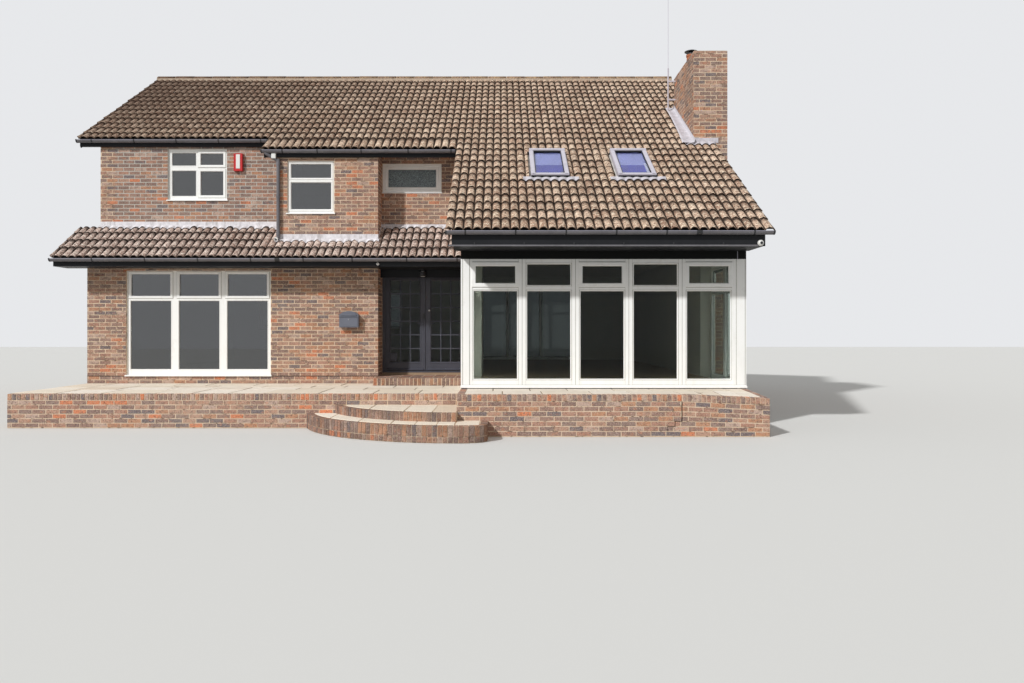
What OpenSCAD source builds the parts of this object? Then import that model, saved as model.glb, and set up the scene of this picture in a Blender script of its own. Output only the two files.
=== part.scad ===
// Detached brick house with a stepped tiled roof. The right end runs down as one long slope over a
// glazed garden room, the front door stands in a recess beside it, and a lean-to roof shelters the
// ground floor. Millimetres. X runs along the front, Y runs back, Z is up; the origin is on the
// ground, midway along the front and under the ridge.

/* [Plan] */
// Length of the left part, whose upper front wall is set back
left_w = 3720; // [3200:10:4600]
// Length of the middle bay, which stands forward on both storeys
middle_w = 1985; // [1700:5:2600]
// Width of the entrance recess
porch_w = 1750; // [1700:10:2100]
// Length of the right part, behind the garden room
lounge_w = 4725; // [4400:5:5400]
// Depth of the house from its upper front wall to its back wall
house_d = 7940; // [7200:10:9000]
// How far the middle bay stands in front of the upper front wall
bay_out = 550; // [450:10:700]
// How far the garden room stands in front of the upper front wall
lounge_out = 3150; // [2800:10:3400]
// Thickness of the outer brick walls
wall_t = 300; // [250:10:350]

/* [Levels] */
// Top of the ground floor
floor_z = 750; // [700:10:850]
// Top of the garden room's brick base
plinth_z = 638; // [560:1:690]
// Top of the paved terrace
terrace_z = 562; // [500:1:600]
// Room height of the ground floor
room_h = 2400; // [2300:10:2500]
// Thickness of the first floor
upper_floor_t = 225; // [180:5:260]

/* [Main roof] */
// Height of the two tile slopes where they would meet under the ridge tiles
apex_z = 7920; // [7600:10:8200]
// Pitch of the two main slopes in degrees
pitch = 30.4; // [29:0.1:32]
// Thickness of the tile layer with its battens
tile_t = 60; // [50:1:75]
// Depth of the rafters under the battens
rafter_t = 150; // [100:5:180]
// How far the tiles reach past a wall at the eaves
eave_out = 115; // [100:5:180]
// How far the long slope reaches past the garden room's glazing
long_eave_out = 868; // [600:1:950]
// How far the tiles reach past the left gable wall
verge_left = 430; // [300:10:500]
// How far the tiles reach past the right gable wall
verge_right = 190; // [150:10:300]
// How far the middle roof reaches left of the middle bay
verge_middle = 280; // [200:10:320]
// How far the long slope reaches left of the garden room
verge_long = 205; // [150:5:260]
// Outer radius of the half-round ridge tiles
ridge_r = 125; // [100:5:150]

/* [Lean-to roof] */
// Height of its tiles at the eaves
lean_z = 3048; // [2990:1:3080]
// Pitch of the lean-to roof in degrees
lean_pitch = 31; // [28:0.5:33]
// How far its tiles reach past the middle bay
lean_out = 590; // [500:10:650]
// Depth of its rafters
lean_rafter_t = 75; // [60:5:90]

/* [Eaves] */
// Thickness of fascia boards, soffits and bargeboards
board_t = 22; // [18:1:28]
// How far the tiles overhang the fascia boards, over the gutter
gutter_over = 55; // [45:5:70]
// Drop from the tile edge to the underside of a common fascia of the main roof
fascia_drop = 200; // [180:5:230]
// Drop from the tile edge to the underside of the long slope's fascia
long_fascia_drop = 309; // [280:1:360]
// Drop from the lean-to roof's tile edge to the underside of its fascia
lean_fascia_drop = 223; // [200:1:250]
// Outer width of the half-round gutters
gutter_w = 112; // [100:2:125]
// Wall thickness of the gutters
gutter_t = 4; // [3:1:6]
// Diameter of the downpipes
pipe_d = 68; // [60:1:80]
// Depth of the bargeboards
barge_h = 170; // [140:10:200]

/* [Rooflights] */
// Width of each rooflight
light_w = 670; // [600:10:800]
// Length of each rooflight up the slope
light_l = 1360; // [1180:10:1500]
// Distance of the first rooflight's middle from the left side of the garden room
light_x = 1539; // [1300:1:1800]
// Spacing of the two rooflights
light_gap = 1546; // [1300:1:1700]
// Horizontal distance from the upper front wall to the top of the rooflights
light_y = 977; // [800:1:1050]
// Width of the rooflight's metal frame
light_frame = 85; // [60:5:90]
// Height of the rooflight's frame above the tiles
light_up = 45; // [30:5:70]

/* [Chimney] */
// Width of the stack, seen from the front
stack_w = 665; // [560:5:780]
// Depth of the stack
stack_d = 1900; // [1500:25:2100]
// How far the stack stands in front of the upper front wall
stack_out = 410; // [300:10:500]
// How far the stack stands out of the right gable wall
stack_side = 420; // [340:10:500]
// Height of the top of the stack
stack_z = 7140; // [6900:10:7500]
// Outer radius of the chimney pot
pot_r = 100; // [85:5:120]
// Height of the chimney pot
pot_h = 300; // [250:10:450]
// Height of the aerial's tip
aerial_z = 9300; // [8800:50:9800]

/* [Windows] */
// Depth of the window frames from front to back
frame_d = 70; // [60:5:80]
// Width of the window frames' bars
frame_w = 60; // [50:5:75]
// Setback of the window frames from the wall's face
reveal = 40; // [25:5:70]
// Thickness of the glass
glass_t = 24; // [20:2:28]
// Height of the small top lights in the tall windows
top_light_h = 480; // [400:10:560]
// Width of the tall ground floor window
dining_w = 2840; // [2600:20:2900]
// Height of the tall ground floor window
dining_h = 2070; // [1980:10:2090]
// Distance from the middle bay's left corner to the tall window
dining_gap = 120; // [100:10:300]
// Distance from the middle bay's left corner to the left upper window
upper_left_gap = 1158; // [900:1:1300]
// Width of the left upper window
upper_left_w = 1200; // [1000:10:1400]
// Width of the middle upper window
upper_mid_w = 920; // [800:10:1050]
// Height of the left and middle upper windows
upper_h = 1050; // [950:10:1150]
// Height of the top lights in the upper windows
upper_top_h = 283; // [250:1:320]
// Height of the transoms in the upper windows
upper_transom_h = 80; // [60:1:90]
// Height of the bottom bars of the upper windows, with their sills
upper_sill_h = 90; // [60:1:100]
// Width of the small window over the entrance
upper_small_w = 1200; // [1000:10:1240]
// Height of the small window over the entrance
upper_small_h = 600; // [500:10:650]

/* [Garden room] */
// Number of glazed bays along the front
bays = 5; // [4:1:6]
// Width of the left corner post
post_w = 203; // [150:1:230]
// How much wider the right corner post is
post_more = 46; // [10:1:80]
// Width of the mullions between the bays
mullion_w = 142; // [90:1:160]
// Height of the glazed frame
glazing_h = 2130; // [2100:5:2170]
// Height of the top lights
vent_h = 370; // [330:1:420]
// Height of the bottom rail
sill_rail_h = 135; // [90:1:150]
// Height of the transom
transom_h = 75; // [50:5:80]
// Height of the head rail
head_rail_h = 72; // [60:1:110]
// Length of the glazed sides
side_glazing_l = 1950; // [1600:10:2100]
// How far the brick base stands in front of the glazing
plinth_out = 1226; // [1000:2:1400]
// Thickness of the stone paving
slab_t = 50; // [40:1:65]
// Width of the brick border round the paving
border_w = 103; // [100:1:215]
// Distance from the left side of the base to the crack in its front
crack_x = 3400; // [3000:10:3800]
// How far the base has sunk at its right front corner
corner_sag = 57; // [20:1:80]

/* [Front doors] */
// Height of each door leaf
leaf_h = 1970; // [1940:5:1980]
// Thickness of each door leaf
leaf_t = 44; // [40:1:56]
// Width of a leaf's stiles
stile_w = 105; // [90:5:120]
// Height of a leaf's top rail
top_rail_h = 130; // [100:5:150]
// Height of a leaf's bottom rail
bottom_rail_h = 170; // [150:5:240]
// Width of the door frame's bars
door_frame_w = 50; // [40:5:65]
// How far the leaves stand behind the door frame's front face
leaf_back = 30; // [24:1:60]
// Setback of the door frame from the wall's face
door_set = 60; // [40:5:100]
// Gap between a leaf and what is round it
leaf_gap = 6; // [6:1:8]
// Gap between the two leaves where they meet
meeting_gap = 9; // [9:1:11]
// Outer radius of the hinge knuckles
knuckle_r = 8; // [7:0.5:9]
// Radius of the hinge pins
pin_r = 4; // [3:0.5:5]

/* [Steps and terrace] */
// Depth of the terrace in front of the middle bay
terrace_d = 2690; // [2400:10:2900]
// How far the upper step stands in front of the terrace
upper_step_d = 1360; // [1240:10:1500]
// Radius of the upper step's curved front
upper_step_r = 2286; // [2000:2:2600]
// Height of the upper step
upper_step_z = 381; // [340:1:420]
// How far the lower step stands in front of the upper step
lower_step_d = 500; // [400:10:600]
// Radius of the lower step's curved front
lower_step_r = 2690; // [2500:5:2900]
// Height of the lower step
lower_step_z = 245; // [200:1:280]
// How far the lower step passes in front of the garden room's base
lower_step_wrap = 467; // [350:1:600]
// Radius of the lower step's right corner
lower_corner_r = 260; // [150:10:320]
// Height of the brick step at the door, above the terrace
porch_step_h = 140; // [100:5:150]
// How far the brick step stands in front of the middle bay
porch_step_out = 640; // [500:10:800]

/* [Back windows] */
// Distance from the left end to the first windows of the back
rear_x1 = 1000; // [800:50:1400]
// Distance from the left end to the second windows
rear_x2 = 4300; // [3900:50:4700]
// Distance from the left end to the third window
rear_x3 = 6700; // [6400:50:7000]
// Distance from the left end to the fourth window
rear_x4 = 9500; // [9200:50:9800]
// Distance from the left end to the glazed doors at the back
rear_door_x = 7300; // [7000:50:7600]
// Width of the glazed doors at the back
rear_door_w = 3000; // [2700:50:3300]
// Height of the lowest pipe clip
clip_z = 300; // [200:50:400]
// Spacing of the pipe clips
clip_step = 1500; // [1300:50:1550]

/* [Hidden] */

eps = 1;
// Places along the front
house_w = left_w + middle_w + porch_w + lounge_w;
x_left = -house_w/2;
x_bay = x_left + left_w;
x_porch = x_bay + middle_w;
x_lounge = x_porch + porch_w;
x_right = x_left + house_w;
// Places from front to back
y_rear = house_d/2;
y_front = -house_d/2;
y_bay = y_front - bay_out;
y_glass = y_front - lounge_out;
y_side = y_glass + side_glazing_l;
y_cheek = y_glass + frame_d;
y_base = y_glass - plinth_out;
y_terrace = y_bay - terrace_d;
// Levels
ceiling_z = floor_z + room_h;
first_z = ceiling_z + upper_floor_t;
head_z = plinth_z + 22 + glazing_h;
// Roof
roof_t = (tile_t + rafter_t)/cos(pitch);
tile_v = tile_t/cos(pitch);
y_eave_left = y_front - eave_out;
y_eave_mid = y_bay - eave_out;
y_eave_long = y_glass - long_eave_out;
y_eave_rear = y_rear + eave_out;
x_verge_left = x_left - verge_left;
x_verge_right = x_right + verge_right;
x_verge_mid = x_bay - verge_middle;
x_verge_long = x_lounge - verge_long;
y_eave_lean = y_bay - lean_out;
lean_tile_v = tile_t/cos(lean_pitch);
lean_t = (tile_t + lean_rafter_t)/cos(lean_pitch);
// Setback of the boards from the tiles' edges: left and middle, long slope, right
verge_in = 40;
long_in = 100;
right_in = 128;
// Clearance between faces that rest on each other on a slope, and between neighbouring boards
seat = 0.3;
// Chimney
x_stack = x_right + stack_side - stack_w;
y_stack = y_front - stack_out;
// Colours of the materials
brick = "#9a5b45";
stone = "#cfc0a4";
tile = "#7c5a4a";
dark = "#3a3d42";
white = "#f1f1ee";
lead = "#b9bcbf";

function roof_z(y) = apex_z - abs(y)*tan(pitch);
function under_z(y) = roof_z(y) - roof_t;
function lean_roof_z(y) = lean_z + (y - y_eave_lean)*tan(lean_pitch);
function lean_under_z(y) = lean_roof_z(y) - lean_t;
function wall_top(y) = under_z(y) - seat;
function lean_wall_top(y) = lean_under_z(y) - seat;

// Extrude an outline drawn in Y and Z along X, from x0 to x1
module along_x(x0, x1) {
    translate([x0, 0, 0])
        rotate([90, 0, 90])
            linear_extrude(height = x1 - x0)
                children();
}

// Box between two corners
module block(a, b) {
    translate(a) cube(b - a);
}

// A sloped layer under the front (s = -1) or rear (s = 1) tiles, from depth d0 to d1 below them
module slope_layer(x0, x1, s, y_end, d0, d1) {
    along_x(x0, x1)
        polygon([[0, apex_z - d0], [y_end, roof_z(y_end) - d0],
                 [y_end, roof_z(y_end) - d1], [0, apex_z - d1]]);
}

// A front wall from z0 to the underside of the roof
module wall_to_roof(x0, x1, y0, z0) {
    y1 = y0 + wall_t;
    along_x(x0, x1)
        polygon([[y0, z0], [y1, z0], [y1, wall_top(y1)], [y0, wall_top(y0)]]);
}

// Moves a shape drawn flat onto the front slope; its y runs up the slope and its z out of it
module on_front_slope(x, y, up = 0) {
    translate([x, y, roof_z(y)])
        rotate([pitch, 0, 0])
            translate([0, 0, up])
                children();
}

// A rectangular window hole through a wall that lies along X
module hole_x(x0, w, z0, h, y0) {
    block([x0, y0 - 50, z0], [x0 + w, y0 + wall_t + 50, z0 + h]);
}

// Windows of the front: left edge, width, sill height, height, face of the wall
dining_x = x_bay - dining_gap - dining_w;
dining_z = floor_z - 38;
tall_mullion_w = 130;
upper_left_x = x_bay - upper_left_gap - upper_left_w;
upper_left_z = under_z(y_front) - 60 - upper_h;
upper_mid_x = x_bay + 205;
upper_mid_z = under_z(y_bay) - 80 - upper_h;
small_x = x_porch + 10;
small_z = roof_z(y_eave_mid) - fascia_drop - 9 - upper_small_h;

FRONT_WINDOWS = [
    [upper_left_x, upper_left_w, upper_left_z, upper_h, y_front, 2],
    [upper_mid_x, upper_mid_w, upper_mid_z, upper_h, y_bay, 1],
    [small_x, upper_small_w, small_z, upper_small_h, y_front, 1]
];

// Windows of the back: left edge, width, sill height, height, number of lights
rear_sill = under_z(y_rear) - 40 - upper_h;
rear_low_sill = floor_z + 900;
REAR_WINDOWS = [
    [x_left + rear_x1, upper_left_w, rear_sill, upper_h, 2],
    [x_left + rear_x2, upper_mid_w, rear_sill, upper_h, 1],
    [x_left + rear_x3, upper_left_w, rear_sill, upper_h, 2],
    [x_left + rear_x4, upper_left_w, rear_sill, upper_h, 2],
    [x_left + rear_x1, upper_left_w, rear_low_sill, upper_h + 100, 2],
    [x_left + rear_x2, upper_mid_w, rear_low_sill, upper_h + 100, 1],
    [x_left + rear_door_x, rear_door_w, floor_z, 2100, 3]
];

module ground_floor() {
    color("#b8b2a8")
        linear_extrude(height = floor_z)
            polygon([[x_left + wall_t, y_rear - wall_t], [x_left + wall_t, y_bay + wall_t],
                     [x_porch - wall_t, y_bay + wall_t], [x_porch - wall_t, y_front + wall_t],
                     [x_porch, y_front + wall_t], [x_porch, y_front + door_set],
                     [x_lounge, y_front + door_set], [x_lounge, y_front + wall_t],
                     [x_lounge + wall_t, y_front + wall_t], [x_lounge + wall_t, y_glass + frame_d],
                     [x_right - wall_t, y_glass + frame_d], [x_right - wall_t, y_rear - wall_t]]);
}

module first_floor() {
    color("#c8c2b6")
        translate([0, 0, ceiling_z])
            linear_extrude(height = upper_floor_t)
                polygon([[x_left + wall_t, y_rear - wall_t], [x_left + wall_t, y_bay + wall_t],
                         [x_porch - wall_t, y_bay + wall_t], [x_porch - wall_t, y_front + wall_t],
                         [x_right - wall_t, y_front + wall_t],
                         [x_right - wall_t, y_rear - wall_t]]);
}

module front_wall_ground() {
    y1 = y_bay + wall_t;
    color(brick)
        difference() {
            union() {
                along_x(x_left + wall_t, x_bay)
                    polygon([[y_bay, 0], [y1, 0], [y1, lean_wall_top(y1)], [y_bay, lean_wall_top(y_bay)]]);
                block([x_bay, y_bay, 0], [x_porch - wall_t, y1, ceiling_z]);
            }
            hole_x(dining_x, dining_w, dining_z, dining_h, y_bay);
        }
}

module entrance_return_wall() {
    y1 = y_front + wall_t;
    color(brick)
        along_x(x_porch - wall_t, x_porch)
            polygon([[y_bay, 0], [y1, 0], [y1, wall_top(y1)], [y_bay, wall_top(y_bay)]]);
}

module entrance_wall() {
    color(brick)
        difference() {
            wall_to_roof(x_porch, x_lounge, y_front, door_top_z);
            hole_x(small_x, upper_small_w, small_z, upper_small_h, y_front);
        }
}

module upper_wall_left() {
    color(brick)
        difference() {
            wall_to_roof(x_left + wall_t, x_bay + wall_t, y_front, first_z);
            hole_x(upper_left_x, upper_left_w, upper_left_z, upper_h, y_front);
        }
}

module upper_wall_middle() {
    y1 = y_bay + wall_t;
    color(brick)
        difference() {
            union() {
                wall_to_roof(x_bay, x_porch - wall_t, y_bay, ceiling_z);
                along_x(x_bay, x_bay + wall_t)
                    polygon([[y1 - eps, first_z], [y_front, first_z],
                             [y_front, wall_top(y_front)], [y1 - eps, wall_top(y1 - eps)]]);
            }
            hole_x(upper_mid_x, upper_mid_w, upper_mid_z, upper_h, y_bay);
        }
}

// Side wall of the garden room: a dwarf wall, brickwork behind the side glazing, and a cheek over it
module garden_side_outline(y_back) {
    polygon([[y_glass, 0], [y_back, 0], [y_back, wall_top(y_back)], [y_cheek, wall_top(y_cheek)],
             [y_cheek, head_z], [y_side, head_z], [y_side, plinth_z], [y_glass, plinth_z]]);
}

module garden_room_left_wall() {
    color(brick)
        along_x(x_lounge, x_lounge + wall_t)
            garden_side_outline(y_front + wall_t);
}

module left_gable_wall() {
    color(brick)
        difference() {
            along_x(x_left, x_left + wall_t)
                polygon([[y_bay, 0], [y_rear, 0], [y_rear, wall_top(y_rear)], [0, wall_top(0)],
                         [y_front, wall_top(y_front)], [y_front, lean_wall_top(y_front)],
                         [y_bay, lean_wall_top(y_bay)]]);
            block([x_left - 50, gable_window_y, rear_sill],
                  [x_left + wall_t + 50, gable_window_y + gable_window_w, rear_sill + upper_h]);
        }
}

gable_window_y = 600;
gable_window_w = 900;

module right_gable_outline() {
    polygon([[y_glass, 0], [y_rear, 0], [y_rear, wall_top(y_rear)], [0, wall_top(0)],
             [y_cheek, wall_top(y_cheek)], [y_cheek, head_z], [y_side, head_z],
             [y_side, plinth_z], [y_glass, plinth_z]]);
}

module right_gable_wall() {
    color(brick)
        difference() {
            along_x(x_right - wall_t, x_right)
                right_gable_outline();
            block([x_right - wall_t - 50, gable_window_y, rear_sill],
                  [x_right + 50, gable_window_y + gable_window_w, rear_sill + upper_h]);
        }
}

module rear_wall() {
    y0 = y_rear - wall_t;
    color(brick)
        difference() {
            along_x(x_left + wall_t, x_right - wall_t)
                polygon([[y0, 0], [y_rear, 0], [y_rear, wall_top(y_rear)], [y0, wall_top(y0)]]);
            for (w = REAR_WINDOWS) {
                hole_x(w[0], w[1], w[2], w[3], y0);
            }
        }
}

// What is gone above the sunken corner of the garden room's base
module sunken_corner() {
    x_crack = x_lounge + crack_x;
    run = x_right - x_crack;
    back = plinth_out - 30;
    along = norm([run, back]);
    translate([x_crack, y_base, plinth_z])
        rotate([0, 0, atan2(back, run)])
            rotate([atan(corner_sag*along/(run*back)), 0, 0])
                translate([-500, -2000, 0])
                    cube([along + 1000, 2000, 300]);
}

module garden_room_base() {
    bed_z = plinth_z - slab_t - corner_sag;
    color(brick)
        difference() {
            block([x_lounge, y_base, 0], [x_right, y_glass, plinth_z]);
            block([x_lounge + border_w, y_base + border_w, bed_z],
                  [x_right - border_w, y_glass + eps, plinth_z + eps]);
            sunken_corner();
        }
    color(brick)
        block([x_lounge + wall_t, y_glass, 0],
              [x_right - wall_t, y_glass + frame_d, floor_z - 90]);
}

module paving() {
    bed_z = plinth_z - slab_t - corner_sag;
    color(stone) {
        difference() {
            block([x_lounge + border_w, y_base + border_w, bed_z],
                  [x_right - border_w, y_glass, plinth_z]);
            sunken_corner();
        }
        difference() {
            block([x_left, y_terrace + border_w, terrace_z - slab_t],
                  [x_lounge, y_bay, terrace_z]);
            block([x_porch, y_bay - porch_step_out, terrace_z - slab_t - eps],
                  [x_lounge + eps, y_bay + eps, terrace_z + eps]);
        }
    }
}

// Grid of bars in the XZ plane: frame round w by h, with cols openings across and one row of top
// lights of height top when top > 0; the right side bar is wider by more
module bar_grid(w, h, d, side, mullion, bottom, head, top, transom, cols, more = 0) {
    clear_w = (w - 2*side - more - (cols - 1)*mullion)/cols;
    low_h = top > 0 ? h - bottom - head - top - transom : h - bottom - head;
    difference() {
        cube([w, d, h]);
        for (i = [0:cols - 1]) {
            x = side + i*(clear_w + mullion);
            translate([x, -eps, bottom]) cube([clear_w, d + 2*eps, low_h]);
            if (top > 0) {
                translate([x, -eps, h - head - top]) cube([clear_w, d + 2*eps, top]);
            }
        }
    }
}

module garden_room_frame() {
    color(white)
        translate([x_lounge, y_glass, plinth_z + 22])
            bar_grid(lounge_w, glazing_h, frame_d, post_w, mullion_w, sill_rail_h, head_rail_h, vent_h,
                     transom_h, bays, post_more);
}

side_l = side_glazing_l - frame_d;
module garden_side_frame(x) {
    translate([x + frame_d, y_glass + frame_d, plinth_z + 22])
        rotate([0, 0, 90])
            bar_grid(side_l, glazing_h, frame_d, frame_w, mullion_w, sill_rail_h, head_rail_h, vent_h,
                     transom_h, 2);
}

module garden_room_side_frames() {
    color(white) {
        garden_side_frame(x_lounge + 30);
        garden_side_frame(x_right - 30 - frame_d);
    }
}

// Boards over the glazing, full length, with the beam behind them between the side walls
module garden_room_beam() {
    color(dark) {
        beam_part(x_lounge, x_right, y_glass, y_cheek);
        beam_part(x_lounge + wall_t, x_right - wall_t, y_cheek - eps, y_glass + wall_t);
    }
}

module beam_part(x0, x1, y0, y1) {
    along_x(x0, x1)
        polygon([[y0, head_z], [y1, head_z], [y1, wall_top(y1)], [y0, wall_top(y0)]]);
}

module glass_sheet(w, h) {
    translate([0, (frame_d - glass_t)/2, 0]) cube([w, glass_t, h]);
}

module garden_room_glass() {
    color("#9fb8c0", 0.4) {
        translate([x_lounge, y_glass, plinth_z + 22])
            grid_glass(lounge_w, glazing_h, post_w, mullion_w, sill_rail_h, head_rail_h, vent_h,
                       transom_h, bays, post_more);
        for (x = [x_lounge + 30, x_right - 30 - frame_d]) {
            translate([x + frame_d, y_glass + frame_d, plinth_z + 22])
                rotate([0, 0, 90])
                    grid_glass(side_l, glazing_h, frame_w, mullion_w, sill_rail_h, head_rail_h, vent_h,
                               transom_h, 2);
        }
    }
}

// Panes that fill the openings of bar_grid
module grid_glass(w, h, side, mullion, bottom, head, top, transom, cols, more = 0) {
    clear_w = (w - 2*side - more - (cols - 1)*mullion)/cols;
    low_h = top > 0 ? h - bottom - head - top - transom : h - bottom - head;
    for (i = [0:cols - 1]) {
        translate([side + i*(clear_w + mullion), 0, bottom])
            glass_sheet(clear_w, low_h);
        if (top > 0) {
            translate([side + i*(clear_w + mullion), 0, h - head - top])
                glass_sheet(clear_w, top);
        }
    }
}

// Rooflight hole, square to the slope
module rooflight_holes(grow) {
    for (i = [0:1]) {
        on_front_slope(x_lounge + light_x + i*light_gap, y_front - light_y, -400)
            translate([-light_w/2 - grow, -light_l - grow, 0])
                cube([light_w + 2*grow, light_l + 2*grow, 800]);
    }
}

module stack_hole() {
    block([x_stack, y_stack, 0], [x_right + stack_side, y_stack + stack_d, stack_z]);
}

// Rafters from the ridge down to a fascia, their feet cut level over the soffit
module rafters(x0, s, y_edge, drop) {
    y_foot = y_edge - s*(gutter_over + board_t);
    z_foot = roof_z(y_edge) - drop + board_t + seat;
    z_low = max(under_z(y_foot), z_foot);
    y_level = s*(apex_z - roof_t - z_low)/tan(pitch);
    top = tile_v + seat;
    along_x(x0 + board_t, x_verge_right - right_in - board_t)
        polygon([[0, apex_z - top], [y_foot, roof_z(y_foot) - top], [y_foot, z_low],
                 [y_level, z_low], [0, apex_z - roof_t]]);
}

module front_rafters() {
    color("#8b7a5e")
        difference() {
            union() {
                rafters(x_verge_left + verge_in, -1, y_eave_left, fascia_drop);
                rafters(x_verge_mid + verge_in, -1, y_eave_mid, fascia_drop);
                rafters(x_verge_long + long_in, -1, y_eave_long, long_fascia_drop);
            }
            rooflight_holes(0);
            stack_hole();
        }
}

module rear_rafters() {
    color("#8b7a5e")
        rafters(x_verge_left + verge_in, 1, y_eave_rear, fascia_drop);
}

module front_tiles() {
    color(tile)
        difference() {
            union() {
                slope_layer(x_verge_left, x_verge_right, -1, y_eave_left, 0, tile_v);
                slope_layer(x_verge_mid, x_verge_right, -1, y_eave_mid, 0, tile_v);
                slope_layer(x_verge_long, x_verge_right, -1, y_eave_long, 0, tile_v);
            }
            rooflight_holes(0);
            stack_hole();
        }
}

module rear_tiles() {
    color(tile)
        slope_layer(x_verge_left, x_verge_right, 1, y_eave_rear, 0, tile_v);
}

// The lean-to roof from its eaves back to the middle bay's face
module lean_outline() {
    y_foot = y_eave_lean + gutter_over + board_t;
    polygon([[y_eave_lean, lean_z], [y_bay, lean_roof_z(y_bay)], [y_bay, lean_under_z(y_bay)],
             [y_foot, lean_under_z(y_foot)], [y_foot, lean_roof_z(y_foot) - lean_tile_v],
             [y_eave_lean, lean_z - lean_tile_v]]);
}

// Its upper part between the middle bay's face and the walls set back
module lean_upper_outline() {
    y0 = y_bay - eps;
    polygon([[y0, lean_roof_z(y0)], [y_front, lean_roof_z(y_front)], [y_front, lean_under_z(y_front)],
             [y0, lean_under_z(y0)]]);
}

module lean_to_roof() {
    color(tile) {
        along_x(x_verge_left, x_lounge) lean_outline();
        along_x(x_verge_left, x_bay) lean_upper_outline();
        along_x(x_porch, x_lounge) lean_upper_outline();
    }
}

module ridge_tiles() {
    color(tile)
        difference() {
            translate([x_verge_left, 0, apex_z - ridge_r + 60])
                rotate([0, 90, 0])
                    cylinder(r = ridge_r, h = x_verge_right - x_verge_left, $fn = 48);
            slope_layer(x_verge_left - eps, x_verge_right + eps, 1, 400, -seat, 600);
            slope_layer(x_verge_left - eps, x_verge_right + eps, -1, -400, -seat, 600);
        }
}

module rooflights() {
    color("#8f9499")
        for (i = [0:1]) {
            on_front_slope(x_lounge + light_x + i*light_gap, y_front - light_y)
                difference() {
                    translate([-light_w/2, -light_l, -tile_t])
                        cube([light_w, light_l, tile_t + light_up]);
                    translate([-light_w/2 + light_frame, -light_l + light_frame, -tile_t - eps])
                        cube([light_w - 2*light_frame, light_l - 2*light_frame,
                              tile_t + light_up + 2*eps]);
                }
        }
}

module rooflight_glass() {
    color("#9fb8c0", 0.4)
        for (i = [0:1]) {
            on_front_slope(x_lounge + light_x + i*light_gap, y_front - light_y)
                translate([-light_w/2 + light_frame, -light_l + light_frame, light_up - 15 - glass_t])
                    cube([light_w - 2*light_frame, light_l - 2*light_frame, glass_t]);
        }
}

module chimney_stack() {
    color(brick)
        difference() {
            stack_hole();
            along_x(x_stack - eps, x_right)
                polygon([[y_stack - eps, -eps], [y_stack + stack_d + eps, -eps],
                         [y_stack + stack_d + eps, under_z(y_stack + stack_d + eps)],
                         [y_stack - eps, under_z(y_stack - eps)]]);
        }
}

pot_x = x_right - 30;
pot_y = y_stack + stack_d*0.62;
module chimney_pot() {
    color("#b5653f")
        translate([pot_x, pot_y, stack_z])
            rotate_extrude($fn = 48)
                polygon([[pot_r*0.72, 0], [pot_r*1.1, 0], [pot_r*1.1, 40], [pot_r, 55],
                         [pot_r*0.92, pot_h - 45], [pot_r*1.05, pot_h - 35], [pot_r*1.05, pot_h],
                         [pot_r*0.72, pot_h]]);
}

module chimney_cowl() {
    color("#26282b")
        translate([pot_x, pot_y, stack_z + pot_h])
            rotate_extrude($fn = 48)
                polygon([[0, 0], [pot_r*0.95, 0], [pot_r*0.95, 30], [pot_r*0.5, 35], [pot_r*0.5, 60],
                         [pot_r*1.4, 62], [pot_r*1.4, 72], [pot_r*0.9, 92], [0, 98]]);
}

module lead_flashings() {
    lead_t = 3;
    color(lead) {
        // Apron in front of the chimney
        on_front_slope(x_stack - 120, y_stack, 0.3)
            translate([0, -170, 0])
                cube([x_verge_right - x_stack + 100, 170, lead_t]);
        // Soaker gutter beside the chimney
        on_front_slope(x_stack - 170, y_stack + stack_d, 0.3)
            translate([0, -(stack_d)/cos(pitch), 0])
                cube([169, stack_d/cos(pitch) + 150, lead_t]);
        // Aprons under the rooflights
        for (i = [0:1]) {
            on_front_slope(x_lounge + light_x + i*light_gap, y_front - light_y, 0.3)
                translate([-light_w/2 - 140, -light_l - 250, 0])
                    cube([light_w + 280, 249, lead_t]);
        }
        // Flashings where the lean-to roof meets the walls
        wall_flashing(x_left, x_bay - eps, y_front);
        wall_flashing(x_bay, x_porch, y_bay);
        wall_flashing(x_porch + eps, x_lounge, y_front);
    }
}

module wall_flashing(x0, x1, y) {
    up = 90;
    down = 150;
    t = 3;
    along_x(x0, x1)
        polygon([[y - 0.3, lean_roof_z(y) + up], [y - 0.3, lean_roof_z(y) + 0.4],
                 [y - down, lean_roof_z(y - down) + 0.4],
                 [y - down, lean_roof_z(y - down) + 0.4 + t],
                 [y - 0.3 - t, lean_roof_z(y - t) + 0.4 + t], [y - 0.3 - t, lean_roof_z(y) + up]]);
}

module aerial() {
    ax = x_stack - 160;
    ay = y_stack + stack_d - 150;
    color("#9a9da0") {
        translate([ax, ay, roof_z(ay) + 60])
            cylinder(d = 32, h = 900, $fn = 24);
        translate([ax, ay, roof_z(ay) + 960])
            cylinder(d = 10, h = aerial_z - roof_z(ay) - 960, $fn = 24);
        for (dz = [200, 600]) {
            block([ax, ay - 15, roof_z(ay) + 60 + dz], [x_stack - 0.3, ay + 15, roof_z(ay) + 90 + dz]);
        }
    }
}

// Fascia behind a gutter, on the front (s = -1) or back (s = 1)
module fascia(x0, x1, s, y_edge, drop) {
    y0 = y_edge - s*gutter_over;
    y1 = y0 - s*board_t;
    z_edge = roof_z(y_edge);
    block([x0, min(y0, y1), z_edge - drop],
          [x1, max(y0, y1), z_edge - tile_v + gutter_over*tan(pitch) - seat]);
}

// Soffit between a fascia and the wall face y_wall
module soffit(x0, x1, s, y_edge, drop, y_wall) {
    y0 = y_edge - s*(gutter_over + board_t + seat);
    y1 = y_wall + s*seat;
    z0 = roof_z(y_edge) - drop;
    block([x0 + seat, min(y0, y1), z0], [x1 - seat, max(y0, y1), z0 + board_t]);
}

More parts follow.
